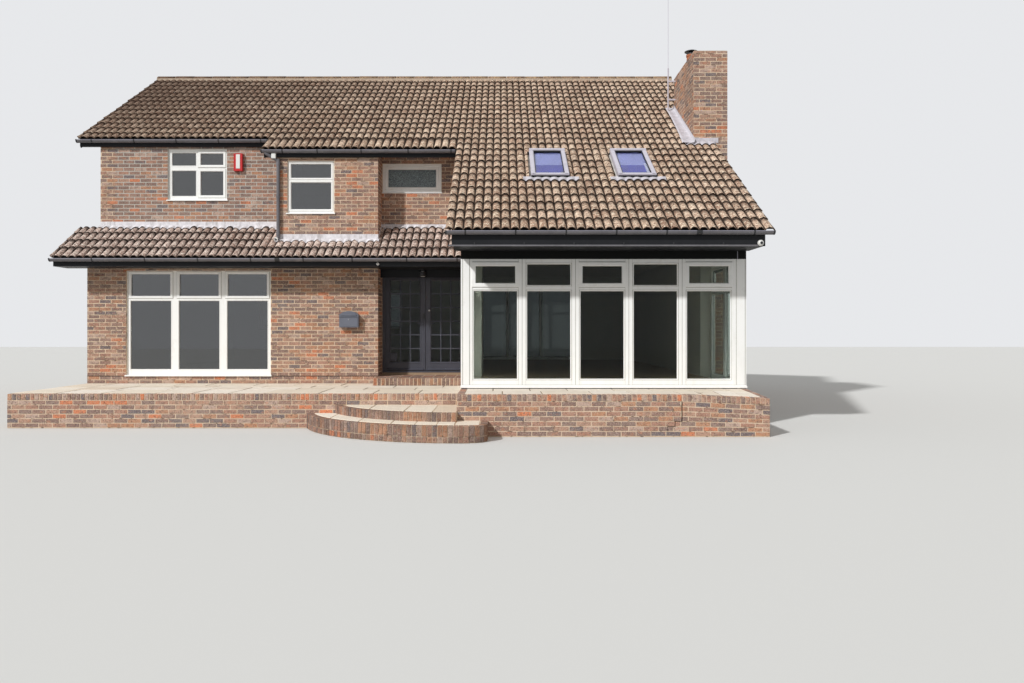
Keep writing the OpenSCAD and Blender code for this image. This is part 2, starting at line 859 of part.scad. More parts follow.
// Bargeboard along a verge of the main roof, from y0 to y1
module barge(x, y0, y1) {
    along_x(x, x + board_t)
        polygon([[y0, roof_z(y0) - tile_v - seat], [y1, roof_z(y1) - tile_v - seat],
                 [y1, roof_z(y1) - tile_v - barge_h/cos(pitch)],
                 [y0, roof_z(y0) - tile_v - barge_h/cos(pitch)]]);
}

module eaves_boards() {
    fl = gutter_over + board_t + seat;
    xl = x_verge_left + verge_in;
    xm = x_verge_mid + verge_in;
    xn = x_verge_long + long_in;
    xr = x_verge_right - right_in;
    color(dark) {
        fascia(xl, xm, -1, y_eave_left, fascia_drop);
        soffit(xl + board_t, xm, -1, y_eave_left, fascia_drop, y_front);
        fascia(xm, xn, -1, y_eave_mid, fascia_drop);
        soffit(xm + board_t, xn, -1, y_eave_mid, fascia_drop, y_bay);
        fascia(xn, xr, -1, y_eave_long, long_fascia_drop);
        soffit(xn + board_t, xr - board_t, -1, y_eave_long, long_fascia_drop, y_glass);
        fascia(xl, xr, 1, y_eave_rear, fascia_drop);
        soffit(xl + board_t, xr - board_t, 1, y_eave_rear, fascia_drop, y_rear);
        lean_boards(xl, x_lounge - seat);
        // Bargeboards
        barge(xl, y_eave_left + fl, -seat);
        barge(xl, seat, y_eave_rear - fl);
        barge(xm, y_eave_mid + fl, y_eave_left + gutter_over - seat);
        barge(xn, y_eave_long + fl, y_eave_mid + gutter_over - seat);
        barge(xr - board_t, y_eave_long + fl, y_stack - seat);
        barge(xr - board_t, y_stack + stack_d + seat, -seat);
        barge(xr - board_t, seat, y_eave_rear - fl);
    }
}

module lean_boards(x0, x1) {
    y0 = y_eave_lean + gutter_over;
    y1 = y0 + board_t + seat;
    top = lean_z - lean_tile_v + gutter_over*tan(lean_pitch) - seat;
    z0 = lean_z - lean_fascia_drop;
    block([x0, y0, z0], [x1, y0 + board_t, top]);
    block([x0, y1, z0], [x_porch - seat, y_bay - seat, z0 + board_t]);
    block([x_porch + seat, y1, z0], [x1, y_front - seat, z0 + board_t]);
}

// Half-round gutter from x0 to x1, its top at z, its back at the fascia's face y
module gutter(x0, x1, y, z) {
    r = gutter_w/2;
    along_x(x0, x1)
        translate([y, z])
            difference() {
                circle(r = r, $fn = 48);
                circle(r = r - gutter_t, $fn = 48);
                translate([-r - eps, 0]) square([2*r + 2*eps, r + eps]);
            }
    // End stops
    for (x = [x0, x1 - gutter_t]) {
        along_x(x, x + gutter_t)
            translate([y, z])
                difference() {
                    circle(r = r, $fn = 48);
                    translate([-r - eps, 0]) square([2*r + 2*eps, r + eps]);
                }
    }
}

gutter_drop = 12;
function gutter_y(y_edge) = y_edge + gutter_over - gutter_w/2 - 0.3;
function gutter_z(z_edge) = z_edge - tile_v - gutter_drop;
module gutters() {
    color(dark) {
        gutter(x_verge_left, x_verge_mid - 3, gutter_y(y_eave_left),
               gutter_z(roof_z(y_eave_left)));
        gutter(x_verge_mid, x_verge_long - 3, gutter_y(y_eave_mid),
               gutter_z(roof_z(y_eave_mid)));
        gutter(x_verge_long, x_verge_right, gutter_y(y_eave_long), gutter_z(roof_z(y_eave_long)));
        gutter(x_verge_left, x_lounge - 5, gutter_y(y_eave_lean), gutter_z(lean_z));
        gutter(x_verge_left, x_verge_right, y_eave_rear - gutter_over + gutter_w/2 + 0.3,
               gutter_z(roof_z(y_eave_rear)));
    }
}

module pipe(h) {
    difference() {
        cylinder(d = pipe_d, h = h, $fn = 32);
        translate([0, 0, -eps]) cylinder(d = pipe_d - 8, h = h + 2*eps, $fn = 32);
    }
}

// Clips that hold a vertical pipe to the wall on its side s
module clips(x, y, s, heights) {
    for (z = heights) {
        block([x - 12, min(y, y + s*pipe_off) + (s > 0 ? pipe_d/2 - 2 : 0), z],
              [x + 12, max(y, y + s*pipe_off) - (s > 0 ? 0 : pipe_d/2 - 2), z + 25]);
    }
}

pipe_off = 20 + pipe_d/2;
module downpipes() {
    color(dark) {
        // From the middle eaves down to the lean-to roof
        x = x_bay + 40;
        y = y_bay - pipe_off;
        z0 = lean_roof_z(y) + 45;
        z1 = roof_z(y_eave_mid) - fascia_drop - 40;
        translate([x, y, z0]) pipe(z1 - z0);
        clips(x, y, 1, [z0 + 150, (z0 + z1)/2, z1 - 120]);
        // At the back corners, down to the ground
        for (xr = [x_left + 120, x_right - 120]) {
            translate([xr, y_rear + pipe_off, 0]) pipe(roof_z(y_eave_rear) - fascia_drop - 0.3);
            clips(xr, y_rear + pipe_off, -1, [for (i = [0:3]) clip_z + i*clip_step]);
        }
    }
}

module front_window_frames() {
    color(white)
        for (w = FRONT_WINDOWS) {
            translate([w[0], w[4] + reveal, w[2]])
                bar_grid(w[1], w[3], frame_d, frame_w, frame_w, upper_sill_h, frame_w, top_light(w),
                         upper_transom_h, w[5]);
        }
}

// The low window over the entrance has no top lights
function top_light(w) = w[3] > 800 ? upper_top_h : 0;

module front_window_glass() {
    color("#9fb8c0", 0.4) {
        for (w = FRONT_WINDOWS) {
            translate([w[0], w[4] + reveal, w[2]])
                grid_glass(w[1], w[3], frame_w, frame_w, upper_sill_h, frame_w, top_light(w),
                           upper_transom_h, w[5]);
        }
        translate([dining_x, y_bay + reveal, dining_z])
            grid_glass(dining_w, dining_h, frame_w, tall_mullion_w, 120, 40, top_light_h, 60, 3);
    }
}

module tall_window_frame() {
    color(white)
        translate([dining_x, y_bay + reveal, dining_z])
            bar_grid(dining_w, dining_h, frame_d, frame_w, tall_mullion_w, 120, 40, top_light_h,
                     60, 3);
}

module rear_window_frames() {
    color(white) {
        for (w = REAR_WINDOWS) {
            translate([w[0], y_rear - reveal - frame_d, w[2]])
                bar_grid(w[1], w[3], frame_d, frame_w, frame_w, frame_w, frame_w, 0, frame_w, w[4]);
        }
        for (x = [x_left + reveal + frame_d, x_right - reveal]) {
            translate([x, gable_window_y, rear_sill])
                rotate([0, 0, 90])
                    bar_grid(gable_window_w, upper_h, frame_d, frame_w, frame_w, frame_w, frame_w, 0,
                             frame_w, 1);
        }
    }
}

module rear_window_glass() {
    color("#9fb8c0", 0.4) {
        for (w = REAR_WINDOWS) {
            translate([w[0], y_rear - reveal - frame_d, w[2]])
                grid_glass(w[1], w[3], frame_w, frame_w, frame_w, frame_w, 0, frame_w, w[4]);
        }
        for (x = [x_left + reveal + frame_d, x_right - reveal]) {
            translate([x, gable_window_y, rear_sill])
                rotate([0, 0, 90])
                    grid_glass(gable_window_w, upper_h, frame_w, frame_w, frame_w, frame_w, 0,
                               frame_w, 1);
        }
    }
}

// Doors: two glazed leaves that open inwards, hung on the outer sides of the frame
threshold_h = 35;
door_frame_d = leaf_back + leaf_t;
door_top_z = floor_z + threshold_h + leaf_h + 2*leaf_gap + door_frame_w;
leaf_w = (porch_w - 2*door_frame_w - 2*leaf_gap - meeting_gap)/2;
y_leaf = y_front + door_set + leaf_back;
leaf_z = floor_z + threshold_h + leaf_gap;
// Hinges, seen from the hinge edge of a leaf: pin place, knuckle length and heights
pin_x = -leaf_gap/2;
pin_y = leaf_t + knuckle_r + 1;
pin_gap = 0.3;
knuckle_h = 34;
plate_t = 3;
hinge_zs = [180, leaf_h/2 - knuckle_h/2, leaf_h - 220];

// The leaf's half of a hinge: the middle knuckle with its pin and plate
module leaf_hinge() {
    translate([pin_x, pin_y, 0]) {
        cylinder(r = knuckle_r, h = knuckle_h, $fn = 32);
        translate([0, 0, -knuckle_h + 2]) cylinder(r = pin_r, h = 3*knuckle_h - 4, $fn = 32);
    }
    translate([pin_x, leaf_t - eps, 0]) cube([36, plate_t + eps, knuckle_h]);
}

// The frame's half: an upper and a lower knuckle with their plates
module frame_hinge() {
    for (z = [-knuckle_h, knuckle_h + pin_gap]) {
        translate([0, 0, z])
            difference() {
                union() {
                    translate([pin_x, pin_y, 0]) cylinder(r = knuckle_r, h = knuckle_h - pin_gap, $fn = 32);
                    translate([pin_x - 36, leaf_t - eps, 0])
                        cube([36, plate_t + eps, knuckle_h - pin_gap]);
                }
                translate([pin_x, pin_y, -eps])
                    cylinder(r = pin_r + pin_gap, h = knuckle_h + 2*eps, $fn = 32);
            }
    }
}

module door_frame() {
    stop = 18;
    y0 = y_front + door_set;
    color(dark) {
        difference() {
            block([x_porch, y0, floor_z], [x_lounge, y0 + door_frame_d, door_top_z]);
            block([x_porch + door_frame_w, y0 + leaf_back - leaf_gap, floor_z + threshold_h],
                  [x_lounge - door_frame_w, y0 + door_frame_d + eps, door_top_z - door_frame_w]);
            block([x_porch + door_frame_w + stop, y0 - eps, floor_z + threshold_h],
                  [x_lounge - door_frame_w - stop, y0 + leaf_back, door_top_z - door_frame_w - stop]);
        }
        for (z = hinge_zs) {
            translate([x_hinge_left, y_leaf, leaf_z + z]) frame_hinge();
            translate([x_hinge_right, y_leaf, leaf_z + z]) mirror([1, 0, 0]) frame_hinge();
        }
    }
}

// One leaf with its glazed opening, from its hinge edge at x = 0
module leaf() {
    difference() {
        cube([leaf_w, leaf_t, leaf_h]);
        translate([stile_w, -eps, bottom_rail_h])
            cube([leaf_w - 2*stile_w, leaf_t + 2*eps, leaf_h - bottom_rail_h - top_rail_h]);
    }
    for (z = hinge_zs) {
        translate([0, 0, z]) leaf_hinge();
    }
    // Lever handles on their plates, on both faces
    for (side = [0, 1]) {
        translate([leaf_w - 55, side*leaf_t, 900])
            mirror([0, 1 - side, 0]) {
                translate([-16, -eps, -60]) cube([32, 9 + eps, 200]);
                translate([0, 0, 60]) rotate([-90, 0, 0]) cylinder(d = 18, h = 48, $fn = 24);
                translate([-110, 36, 52]) cube([119, 14, 16]);
            }
    }
}

module leaf_glass() {
    translate([stile_w, (leaf_t - glass_t)/2, bottom_rail_h])
        cube([leaf_w - 2*stile_w, glass_t, leaf_h - bottom_rail_h - top_rail_h]);
}

x_hinge_left = x_porch + door_frame_w + leaf_gap;
x_hinge_right = x_lounge - door_frame_w - leaf_gap;

module front_door_left() {
    color(dark)
        translate([x_hinge_left, y_leaf, leaf_z]) leaf();
}

module front_door_right() {
    color(dark)
        translate([x_hinge_right, y_leaf, leaf_z]) mirror([1, 0, 0]) leaf();
}

module door_glass_left() {
    color("#9fb8c0", 0.4)
        translate([x_hinge_left, y_leaf, leaf_z]) leaf_glass();
}

module door_glass_right() {
    color("#9fb8c0", 0.4)
        translate([x_hinge_right, y_leaf, leaf_z]) mirror([1, 0, 0]) leaf_glass();
}

module terrace() {
    color(brick) {
        difference() {
            block([x_left, y_terrace, 0], [x_lounge, y_bay, terrace_z]);
            block([x_left - eps, y_terrace + border_w, terrace_z - slab_t],
                  [x_lounge + eps, y_bay + eps, terrace_z + eps]);
        }
        // The brick step at the door
        block([x_porch, y_bay - porch_step_out, terrace_z - slab_t - eps],
              [x_lounge, y_bay, terrace_z + porch_step_h]);
        block([x_porch, y_bay - eps, 0],
              [x_lounge, y_front + door_set, terrace_z + porch_step_h]);
    }
}

// Round block of radius r that carries a step's curved front, foremost at y
module step_round(y, r, h) {
    translate([x_lounge + 35, y + r, 0]) cylinder(r = r, h = h, $fn = 180);
}

module entrance_steps() {
    y_up = y_terrace - upper_step_d;
    y_low = y_up - lower_step_d;
    x_end = x_lounge + lower_step_wrap;
    r = lower_corner_r;
    y_round = y_low + 20 + r;
    color(brick) {
        intersection() {
            step_round(y_up, upper_step_r, upper_step_z);
            block([x_lounge - upper_step_r, y_up - eps, -eps], [x_lounge, y_terrace, upper_step_z + eps]);
        }
        // The lower step passes in front of the garden room's base and ends in a rounded corner
        intersection() {
            step_round(y_low, lower_step_r, lower_step_z);
            union() {
                block([x_lounge - lower_step_r, y_low - eps, -eps],
                      [x_lounge, y_terrace, lower_step_z + eps]);
                block([x_lounge - eps, y_low - eps, -eps], [x_end - r, y_base, lower_step_z + eps]);
            }
        }
        block([x_end - r - eps, y_round, 0], [x_end, y_base, lower_step_z]);
        intersection() {
            translate([x_end - r, y_round, 0]) cylinder(r = r, h = lower_step_z, $fn = 64);
            block([x_end - r - eps, y_low, -eps], [x_end + eps, y_round + eps, lower_step_z + eps]);
        }
    }
}

module letter_box() {
    w = 375;
    h = 250;
    d = 130;
    x0 = x_porch - 738;
    z0 = terrace_z + 1105;
    color("#3f4650")
        translate([x0, y_bay - d, z0])
            rotate([90, 0, 0]) mirror([0, 0, 1])
                linear_extrude(height = d - 0.3)
                    union() {
                        square([w, h]);
                        intersection() {
                            translate([0, h - eps]) square([w, 90]);
                            translate([w/2, h - 215]) circle(r = 284, $fn = 96);
                        }
                    }
}

module alarm_box() {
    color("#efefef")
        translate([upper_left_x + upper_left_w + 158, y_front - 70.3, upper_left_z + 593])
            cube([175, 70, 356]);
}

module porch_lamp() {
    color("#26282b")
        translate([x_porch + porch_w/2 - 20, y_front - 300, lean_z - lean_fascia_drop - 0.3])
            rotate([180, 0, 0])
                rotate_extrude($fn = 48)
                    polygon([[0, 0], [55, 0], [55, 12], [20, 16], [20, 40], [75, 60], [75, 130],
                             [60, 140], [0, 140]]);
}

module security_camera() {
    z = roof_z(y_eave_long) - long_fascia_drop + 48;
    color("#e8e8e8")
        translate([x_verge_right - 203, y_eave_long + gutter_over - 0.3, z])
            rotate([90, 0, 0])
                rotate_extrude($fn = 48)
                    polygon([[0, 0], [48, 0], [48, 20], [36, 45], [15, 56], [0, 58]]);
}

ground_floor();
first_floor();
front_wall_ground();
entrance_return_wall();
entrance_wall();
upper_wall_left();
upper_wall_middle();
garden_room_left_wall();
left_gable_wall();
right_gable_wall();
rear_wall();
garden_room_base();
paving();
garden_room_frame();
garden_room_side_frames();
garden_room_beam();
garden_room_glass();
front_rafters();
rear_rafters();
front_tiles();
rear_tiles();
lean_to_roof();
ridge_tiles();
rooflights();
rooflight_glass();
chimney_stack();
chimney_pot();
chimney_cowl();
lead_flashings();
aerial();
eaves_boards();
gutters();
downpipes();
front_window_frames();
tall_window_frame();
rear_window_frames();
front_window_glass();
rear_window_glass();
door_frame();
front_door_left();
front_door_right();
door_glass_left();
door_glass_right();
terrace();
entrance_steps();
letter_box();
alarm_box();
porch_lamp();
security_camera();
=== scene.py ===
import math
import random

import bpy
from mathutils import Matrix, Vector


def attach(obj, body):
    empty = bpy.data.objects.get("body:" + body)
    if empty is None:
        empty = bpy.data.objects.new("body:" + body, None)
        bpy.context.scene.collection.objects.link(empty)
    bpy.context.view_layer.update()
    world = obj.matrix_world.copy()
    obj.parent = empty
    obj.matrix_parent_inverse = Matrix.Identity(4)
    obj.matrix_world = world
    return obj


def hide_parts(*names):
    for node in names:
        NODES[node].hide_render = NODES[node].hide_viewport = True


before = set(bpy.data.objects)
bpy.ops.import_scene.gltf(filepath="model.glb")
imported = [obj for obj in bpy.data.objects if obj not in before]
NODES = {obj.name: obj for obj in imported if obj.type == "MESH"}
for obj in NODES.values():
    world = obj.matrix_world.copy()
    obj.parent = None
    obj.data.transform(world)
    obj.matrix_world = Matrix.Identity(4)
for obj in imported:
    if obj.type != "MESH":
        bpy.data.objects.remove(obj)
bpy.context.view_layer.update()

# ---------------------------------------------------------------- places of the CAD frame, in metres
X_LEFT, X_BAY, X_PORCH, X_LOUNGE, X_RIGHT = -6.09, -2.37, -0.385, 1.365, 6.09
Y_FRONT, Y_BAY, Y_GLASS, Y_REAR = -3.97, -4.52, -7.12, 3.97
Y_SIDE, Y_BASE, Y_TERRACE = -5.17, -8.346, -7.21
FLOOR_Z, PLINTH_Z, TERRACE_Z, HEAD_Z = 0.75, 0.638, 0.562, 2.79
GLAZE_Z, GLAZE_H = PLINTH_Z + 0.022, 2.13
WALL_IN, REVEAL, FRAME_D = 0.295, 0.04, 0.07    # from a wall's outer face to room and frame, frame depth
APEX_Z, PITCH = 7.92, math.radians(30.4)
LEAN_Z, LEAN_PITCH, LEAN_EAVE = 3.048, math.radians(31), -5.11
EAVE_LEFT, EAVE_MID, EAVE_LONG, EAVE_REAR = -4.085, -4.635, -7.988, 4.085
VERGE_LEFT, VERGE_MID, VERGE_LONG, VERGE_RIGHT = -6.52, -2.65, 1.16, 6.28
TILE_T, RAFTER_T = 0.06, 0.15
STACK_X0, STACK_X1, STACK_Y0, STACK_Y1, STACK_Z = 5.845, 6.51, -4.38, -2.48, 7.14
# Wall openings as (from, to, bottom, top)
DINING = (-5.33, -2.49, 0.712, 2.782)
UPPER_LEFT = (-4.728, -3.528, 4.237, 5.287)
UPPER_MID = (-2.165, -1.245, 3.895, 4.945)
SMALL = (-0.375, 0.825, 4.392, 4.992)
GABLE_WINDOW = (0.6, 1.5, 4.257, 5.307)
REAR_COLS = (2, 1, 2, 2, 2, 1, 3)      # lights side by side in each rear opening
LIGHT_X, LIGHT_W, LIGHT_L, LIGHT_Y, LIGHT_F = (2.904, 4.45), 0.67, 1.36, -4.947, 0.085
DOOR_TOP = 2.817
LEAF_X, LEAF_Z, LEAF_H, LEAF_W, LEAF_Y = (-0.329, 1.309), 0.791, 1.97, 0.8145, -3.88
BORDER, CRACK_X, CORNER_SAG = 0.103, 4.765, 0.057
STEP_X, LOW_Y, LOW_R, LOW_Z = 1.4, -9.07, 2.69, 0.245
UP_Y, UP_R, UP_Z = -8.57, 2.286, 0.381
LOW_END, LOW_CORNER, LOW_FOOT = 1.832, 0.26, 0.095
PORCH_Y, PORCH_Z = -5.16, 0.702
GUTTER_R, GUTTER_OUT = 0.056, 0.0013
LONG_FASCIA_Y, LONG_FASCIA_Z = -7.933, 2.9244

TAN, COS = math.tan(PITCH), math.cos(PITCH)
LTAN, LCOS = math.tan(LEAN_PITCH), math.cos(LEAN_PITCH)


def roof_z(y):
    """Top of the CAD's main roof layer."""
    return APEX_Z - abs(y)*TAN


def under_z(y):
    """Underside of the main roof's rafters."""
    return roof_z(y) - (TILE_T + RAFTER_T)/COS


def lean_z(y):
    """Top of the CAD's lean-to roof."""
    return LEAN_Z + (y - LEAN_EAVE)*LTAN


# ---------------------------------------------------------------- mesh building
class Shape:
    """Faces of one piece, with a random tone per face group, built in a local frame."""

    def __init__(self):
        # The last list holds a per-point amount of painted shade, which the tile look reads
        self.v, self.f, self.tone, self.painted_shade = [], [], [], []
        self.m = Matrix.Identity(4)
        self.flip = False

    def place(self, origin, u, d, z):
        """Local axes u, d, z in world directions; the winding follows."""
        m = Matrix((u, d, z)).transposed().to_4x4()
        m.translation = Vector(origin)
        self.m = m
        self.flip = m.to_3x3().determinant() < 0
        return self

    def on(self, axes, at):
        """Local axes of a wall face, which lies at a place along its own normal."""
        return self.place([abs(c)*at for c in axes[1]], *axes)

    def add(self, verts, faces, tone=0.5, painted_shade=None):
        base = len(self.v)
        self.v += [self.m @ Vector(p) for p in verts]
        self.painted_shade += painted_shade if painted_shade is not None else [0.0]*len(verts)
        for f in faces:
            f = [base + i for i in f]
            self.f.append(f[::-1] if self.flip else f)
            self.tone.append(tone)

    def box(self, a, b, tone=0.5, back=True):
        """Box between two local corners; back=False leaves out its face at the lower d."""
        (x0, y0, z0), (x1, y1, z1) = a, b
        v = [(x0, y0, z0), (x1, y0, z0), (x1, y1, z0), (x0, y1, z0),
             (x0, y0, z1), (x1, y0, z1), (x1, y1, z1), (x0, y1, z1)]
        f = [(3, 2, 1, 0), (4, 5, 6, 7), (1, 2, 6, 5), (2, 3, 7, 6), (3, 0, 4, 7)]
        if back:
            f.append((0, 1, 5, 4))
        self.add(v, f, tone)

    def pad(self, pts, d0, d1, inset, tone=0.5):
        """Raised face over a convex outline pts (u, z), its edges worn back by inset."""
        n = len(pts)
        cu, cz = sum(p[0] for p in pts)/n, sum(p[1] for p in pts)/n
        v = [(u, d0, z) for u, z in pts]
        for u, z in pts:
            lu, lz = cu - u, cz - z
            v.append((u + math.copysign(min(inset, abs(lu)), lu), d1,
                      z + math.copysign(min(inset, abs(lz)), lz)))
        f = [tuple(range(2*n - 1, n - 1, -1))]
        f += [(n + i, n + (i + 1) % n, (i + 1) % n, i) for i in range(n)]
        self.add(v, f, tone)

    def ring(self, u0, u1, z0, z1, profile, tone=0.5):
        """Mitred frame inside a rectangle; profile is a list of (in, out) points."""
        v, n = [], len(profile)
        for w, d in profile:
            v += [(u0 + w, d, z0 + w), (u1 - w, d, z0 + w), (u1 - w, d, z1 - w), (u0 + w, d, z1 - w)]
        f = []
        for k in range(n - 1):
            for i in range(4):
                j = (i + 1) % 4
                f.append((4*k + j, 4*k + i, 4*k + 4 + i, 4*k + 4 + j))
        self.add(v, f, tone)

    def tube(self, points, radius, sides=12, tone=0.5):
        """Round bar along points, with flat ends."""
        rings, up = [], Vector((0.0123, 0.0456, 1)).normalized()
        pts = [Vector(p) for p in points]
        for i, p in enumerate(pts):
            t = (pts[min(i + 1, len(pts) - 1)] - pts[max(i - 1, 0)]).normalized()
            a = t.cross(up if abs(t.z) < 0.95 else Vector((1, 0, 0))).normalized()
            b = t.cross(a)
            r = radius[i] if isinstance(radius, (list, tuple)) else radius
            rings.append([p + (a*math.cos(2*math.pi*k/sides) + b*math.sin(2*math.pi*k/sides))*r
                          for k in range(sides)])
        f = []
        for i in range(len(rings) - 1):
            for k in range(sides):
                j = (k + 1) % sides
                f.append((i*sides + k, i*sides + j, (i + 1)*sides + j, (i + 1)*sides + k))
        f.append(tuple(range(sides - 1, -1, -1)))
        f.append(tuple((len(rings) - 1)*sides + k for k in range(sides)))
        self.add([tuple(q) for ring in rings for q in ring], f, tone)


FRONT = ((1, 0, 0), (0, -1, 0), (0, 0, 1))
BACK = WORLD = ((1, 0, 0), (0, 1, 0), (0, 0, 1))
LEFT = ((0, 1, 0), (-1, 0, 0), (0, 0, 1))
RIGHT = ((0, 1, 0), (1, 0, 0), (0, 0, 1))


def on_front(y):
    """A shape on a face at y that looks to the front."""
    return Shape().on(FRONT, y)


def corners(x0, x1, y0, y1, gap=0.0):
    """The corners of a rectangle, drawn in by gap."""
    return [(x0 + gap, y0 + gap), (x1 - gap, y0 + gap), (x1 - gap, y1 - gap), (x0 + gap, y1 - gap)]


# ---------------------------------------------------------------- materials
class Nodes:
    """Short calls for building the node tree of a world, or of a new material with the name given."""

    def __init__(self, owner):
        self.owner = bpy.data.materials.new(owner) if isinstance(owner, str) else owner
        self.owner.use_nodes = True
        self.t = self.owner.node_tree
        self.bsdf = self.t.nodes.get("Principled BSDF")

    def new(self, kind, **values):
        node = self.t.nodes.new(kind)
        for k, v in values.items():
            setattr(node, k, v)
        return node

    def link(self, a, b):
        self.t.links.new(a, b)

    def put(self, socket, value):
        if isinstance(value, bpy.types.NodeSocket):
            self.link(value, socket)
        else:
            socket.default_value = value

    def coords(self):
        return self.new("ShaderNodeTexCoord").outputs["Object"]

    def xyz(self):
        """The place on the piece as outputs X, Y and Z."""
        n = self.new("ShaderNodeSeparateXYZ")
        self.link(self.coords(), n.inputs[0])
        return n.outputs

    def attr(self, name):
        return self.new("ShaderNodeAttribute", attribute_name=name).outputs["Fac"]

    def noise(self, scale, detail=3.0, rough=0.6, stretch=None):
        v = self.coords()
        if stretch:
            m = self.new("ShaderNodeMapping")
            self.link(v, m.inputs["Vector"])
            m.inputs["Scale"].default_value = stretch
            v = m.outputs["Vector"]
        n = self.new("ShaderNodeTexNoise")
        self.link(v, n.inputs["Vector"])
        for key, value in (("Scale", scale), ("Detail", detail), ("Roughness", rough)):
            n.inputs[key].default_value = value
        return n.outputs["Fac"]

    def ramp(self, fac, stops, constant=False):
        r = self.new("ShaderNodeValToRGB")
        r.color_ramp.interpolation = "CONSTANT" if constant else "LINEAR"
        e = r.color_ramp.elements
        while len(e) < len(stops):
            e.new(0.5)
        for el, (p, c) in zip(e, stops):
            el.position = p
            el.color = (*c, 1)
        self.link(fac, r.inputs["Fac"])
        return r.outputs["Color"]

    def math(self, op, a, b):
        n = self.new("ShaderNodeMath", operation=op)
        self.put(n.inputs[0], a)
        self.put(n.inputs[1], b)
        return n.outputs[0]

    def band(self, fac, lo, hi):
        """0 below lo, 1 above hi."""
        n = self.new("ShaderNodeMapRange")
        self.put(n.inputs["Value"], fac)
        n.inputs["From Min"].default_value = lo
        n.inputs["From Max"].default_value = hi
        return n.outputs["Result"]

    def mix(self, fac, a, b):
        n = self.new("ShaderNodeMix", data_type="RGBA", blend_type="MIX")
        self.put(n.inputs["Factor"], fac)
        for key, val in (("A", a), ("B", b)):
            s = [i for i in n.inputs if i.name == key and i.type == "RGBA"][0]
            self.put(s, (*val, 1) if isinstance(val, tuple) else val)
        return [o for o in n.outputs if o.type == "RGBA"][0]

    def stain(self, colour, pattern, lo, hi, much, rgb):
        """A screen colour over another one, growing to much where a pattern goes from lo to hi."""
        return self.mix(self.math("MULTIPLY", self.band(pattern, lo, hi), much), colour, lin(*rgb))

    def bump(self, height, strength, distance):
        b = self.new("ShaderNodeBump")
        b.inputs["Strength"].default_value = strength
        b.inputs["Distance"].default_value = distance
        self.put(b.inputs["Height"], height)
        self.link(b.outputs["Normal"], self.bsdf.inputs["Normal"])

    def seen(self):
        """1 for rays from the camera, direct, mirrored or through glass, and 0 for the light itself."""
        path = self.new("ShaderNodeLightPath").outputs
        either = self.math("MAXIMUM", path["Is Camera Ray"], path["Is Glossy Ray"])
        return self.math("MAXIMUM", either, path["Is Transmission Ray"])

    def finish(self, colour, rough, metal=0.0, spec=0.5):
        self.put(self.bsdf.inputs["Base Color"], (*colour, 1) if isinstance(colour, tuple) else colour)
        self.put(self.bsdf.inputs["Roughness"], rough)
        self.bsdf.inputs["Metallic"].default_value = metal
        self.bsdf.inputs["Specular IOR Level"].default_value = spec
        return self.owner


def lin(r, g, b):
    """Linear colour from 0-255 screen values."""
    return tuple(((c/255 + 0.055)/1.055)**2.4 if c > 10 else c/3294.6 for c in (r, g, b))


def stops(pairs):
    """Ramp stops from places and 0-255 screen colours."""
    return [(place, lin(*rgb)) for place, rgb in pairs]


BRICKS = stops(((0.0, (180, 136, 116)), (0.14, (160, 128, 114)), (0.28, (188, 148, 126)),
                (0.42, (150, 126, 116)), (0.55, (194, 142, 110)), (0.66, (144, 118, 108)),
                (0.76, (120, 110, 112)), (0.85, (196, 168, 152)), (0.95, (218, 134, 94))))
TILES = stops(((0.0, (208, 178, 154)), (0.3, (180, 148, 126)), (0.6, (228, 198, 174)),
               (0.8, (166, 134, 114)), (1.0, (198, 162, 138))))
LEAN_TILES = stops(((0.0, (212, 188, 176)), (0.3, (188, 162, 150)), (0.6, (232, 208, 196)),
                    (0.8, (174, 148, 136)), (1.0, (206, 178, 164))))
RIDGES = stops(((0.0, (158, 130, 110)), (0.35, (144, 120, 104)), (0.65, (166, 138, 114)),
                (1.0, (138, 114, 98))))
STONES = stops(((0.0, (244, 232, 214)), (0.3, (236, 222, 202)), (0.6, (250, 240, 226)),
                (0.8, (240, 228, 212)), (1.0, (228, 210, 188))))
ROOMS = ((X_LEFT + WALL_IN, X_PORCH - WALL_IN, Y_BAY + WALL_IN, Y_REAR - WALL_IN),
         (X_LOUNGE + WALL_IN, X_RIGHT - WALL_IN, Y_GLASS + 0.1, Y_REAR - WALL_IN),
         (X_LOUNGE + 0.01, X_RIGHT - 0.01, Y_GLASS + 0.1, Y_SIDE + 0.002),
         (X_PORCH - 0.3, X_LOUNGE + 0.3, Y_FRONT + WALL_IN, Y_REAR - WALL_IN))


def brick_look(name, aged=0.0):
    """Facing brick, coloured by the tone of each piece, with sooty smudges, specks and pale bloom."""
    n = Nodes(name)
    colour = n.ramp(n.attr("tone"), BRICKS, constant=True)
    colour = n.stain(colour, n.noise(15, 4, 0.65), 0.5, 0.62, 0.5, (108, 88, 80))
    rust = n.noise(11, 3, 0.6, stretch=(1.0, 1.0, 1.7))
    colour = n.stain(colour, rust, 0.57, 0.66, 0.45, (204, 136, 100))
    speck = n.noise(46, 4, 0.75)
    colour = n.stain(colour, speck, 0.55, 0.62, 0.8, (84, 66, 60))
    grain = n.noise(75, 3, 0.7)
    colour = n.stain(colour, grain, 0.52, 0.64, 0.6, (220, 200, 184))
    colour = n.stain(colour, n.noise(1.1, 4, 0.65), 0.5, 0.8, 0.25, (206, 184, 164))
    if aged:
        colour = n.stain(colour, n.noise(3.5, 5, 0.7), 0.3, 0.6, aged, (92, 72, 60))
    n.bump(n.math("ADD", n.math("MULTIPLY", grain, 0.5), speck), 0.9, 0.006)
    return n.finish(colour, 0.92, spec=0.25)


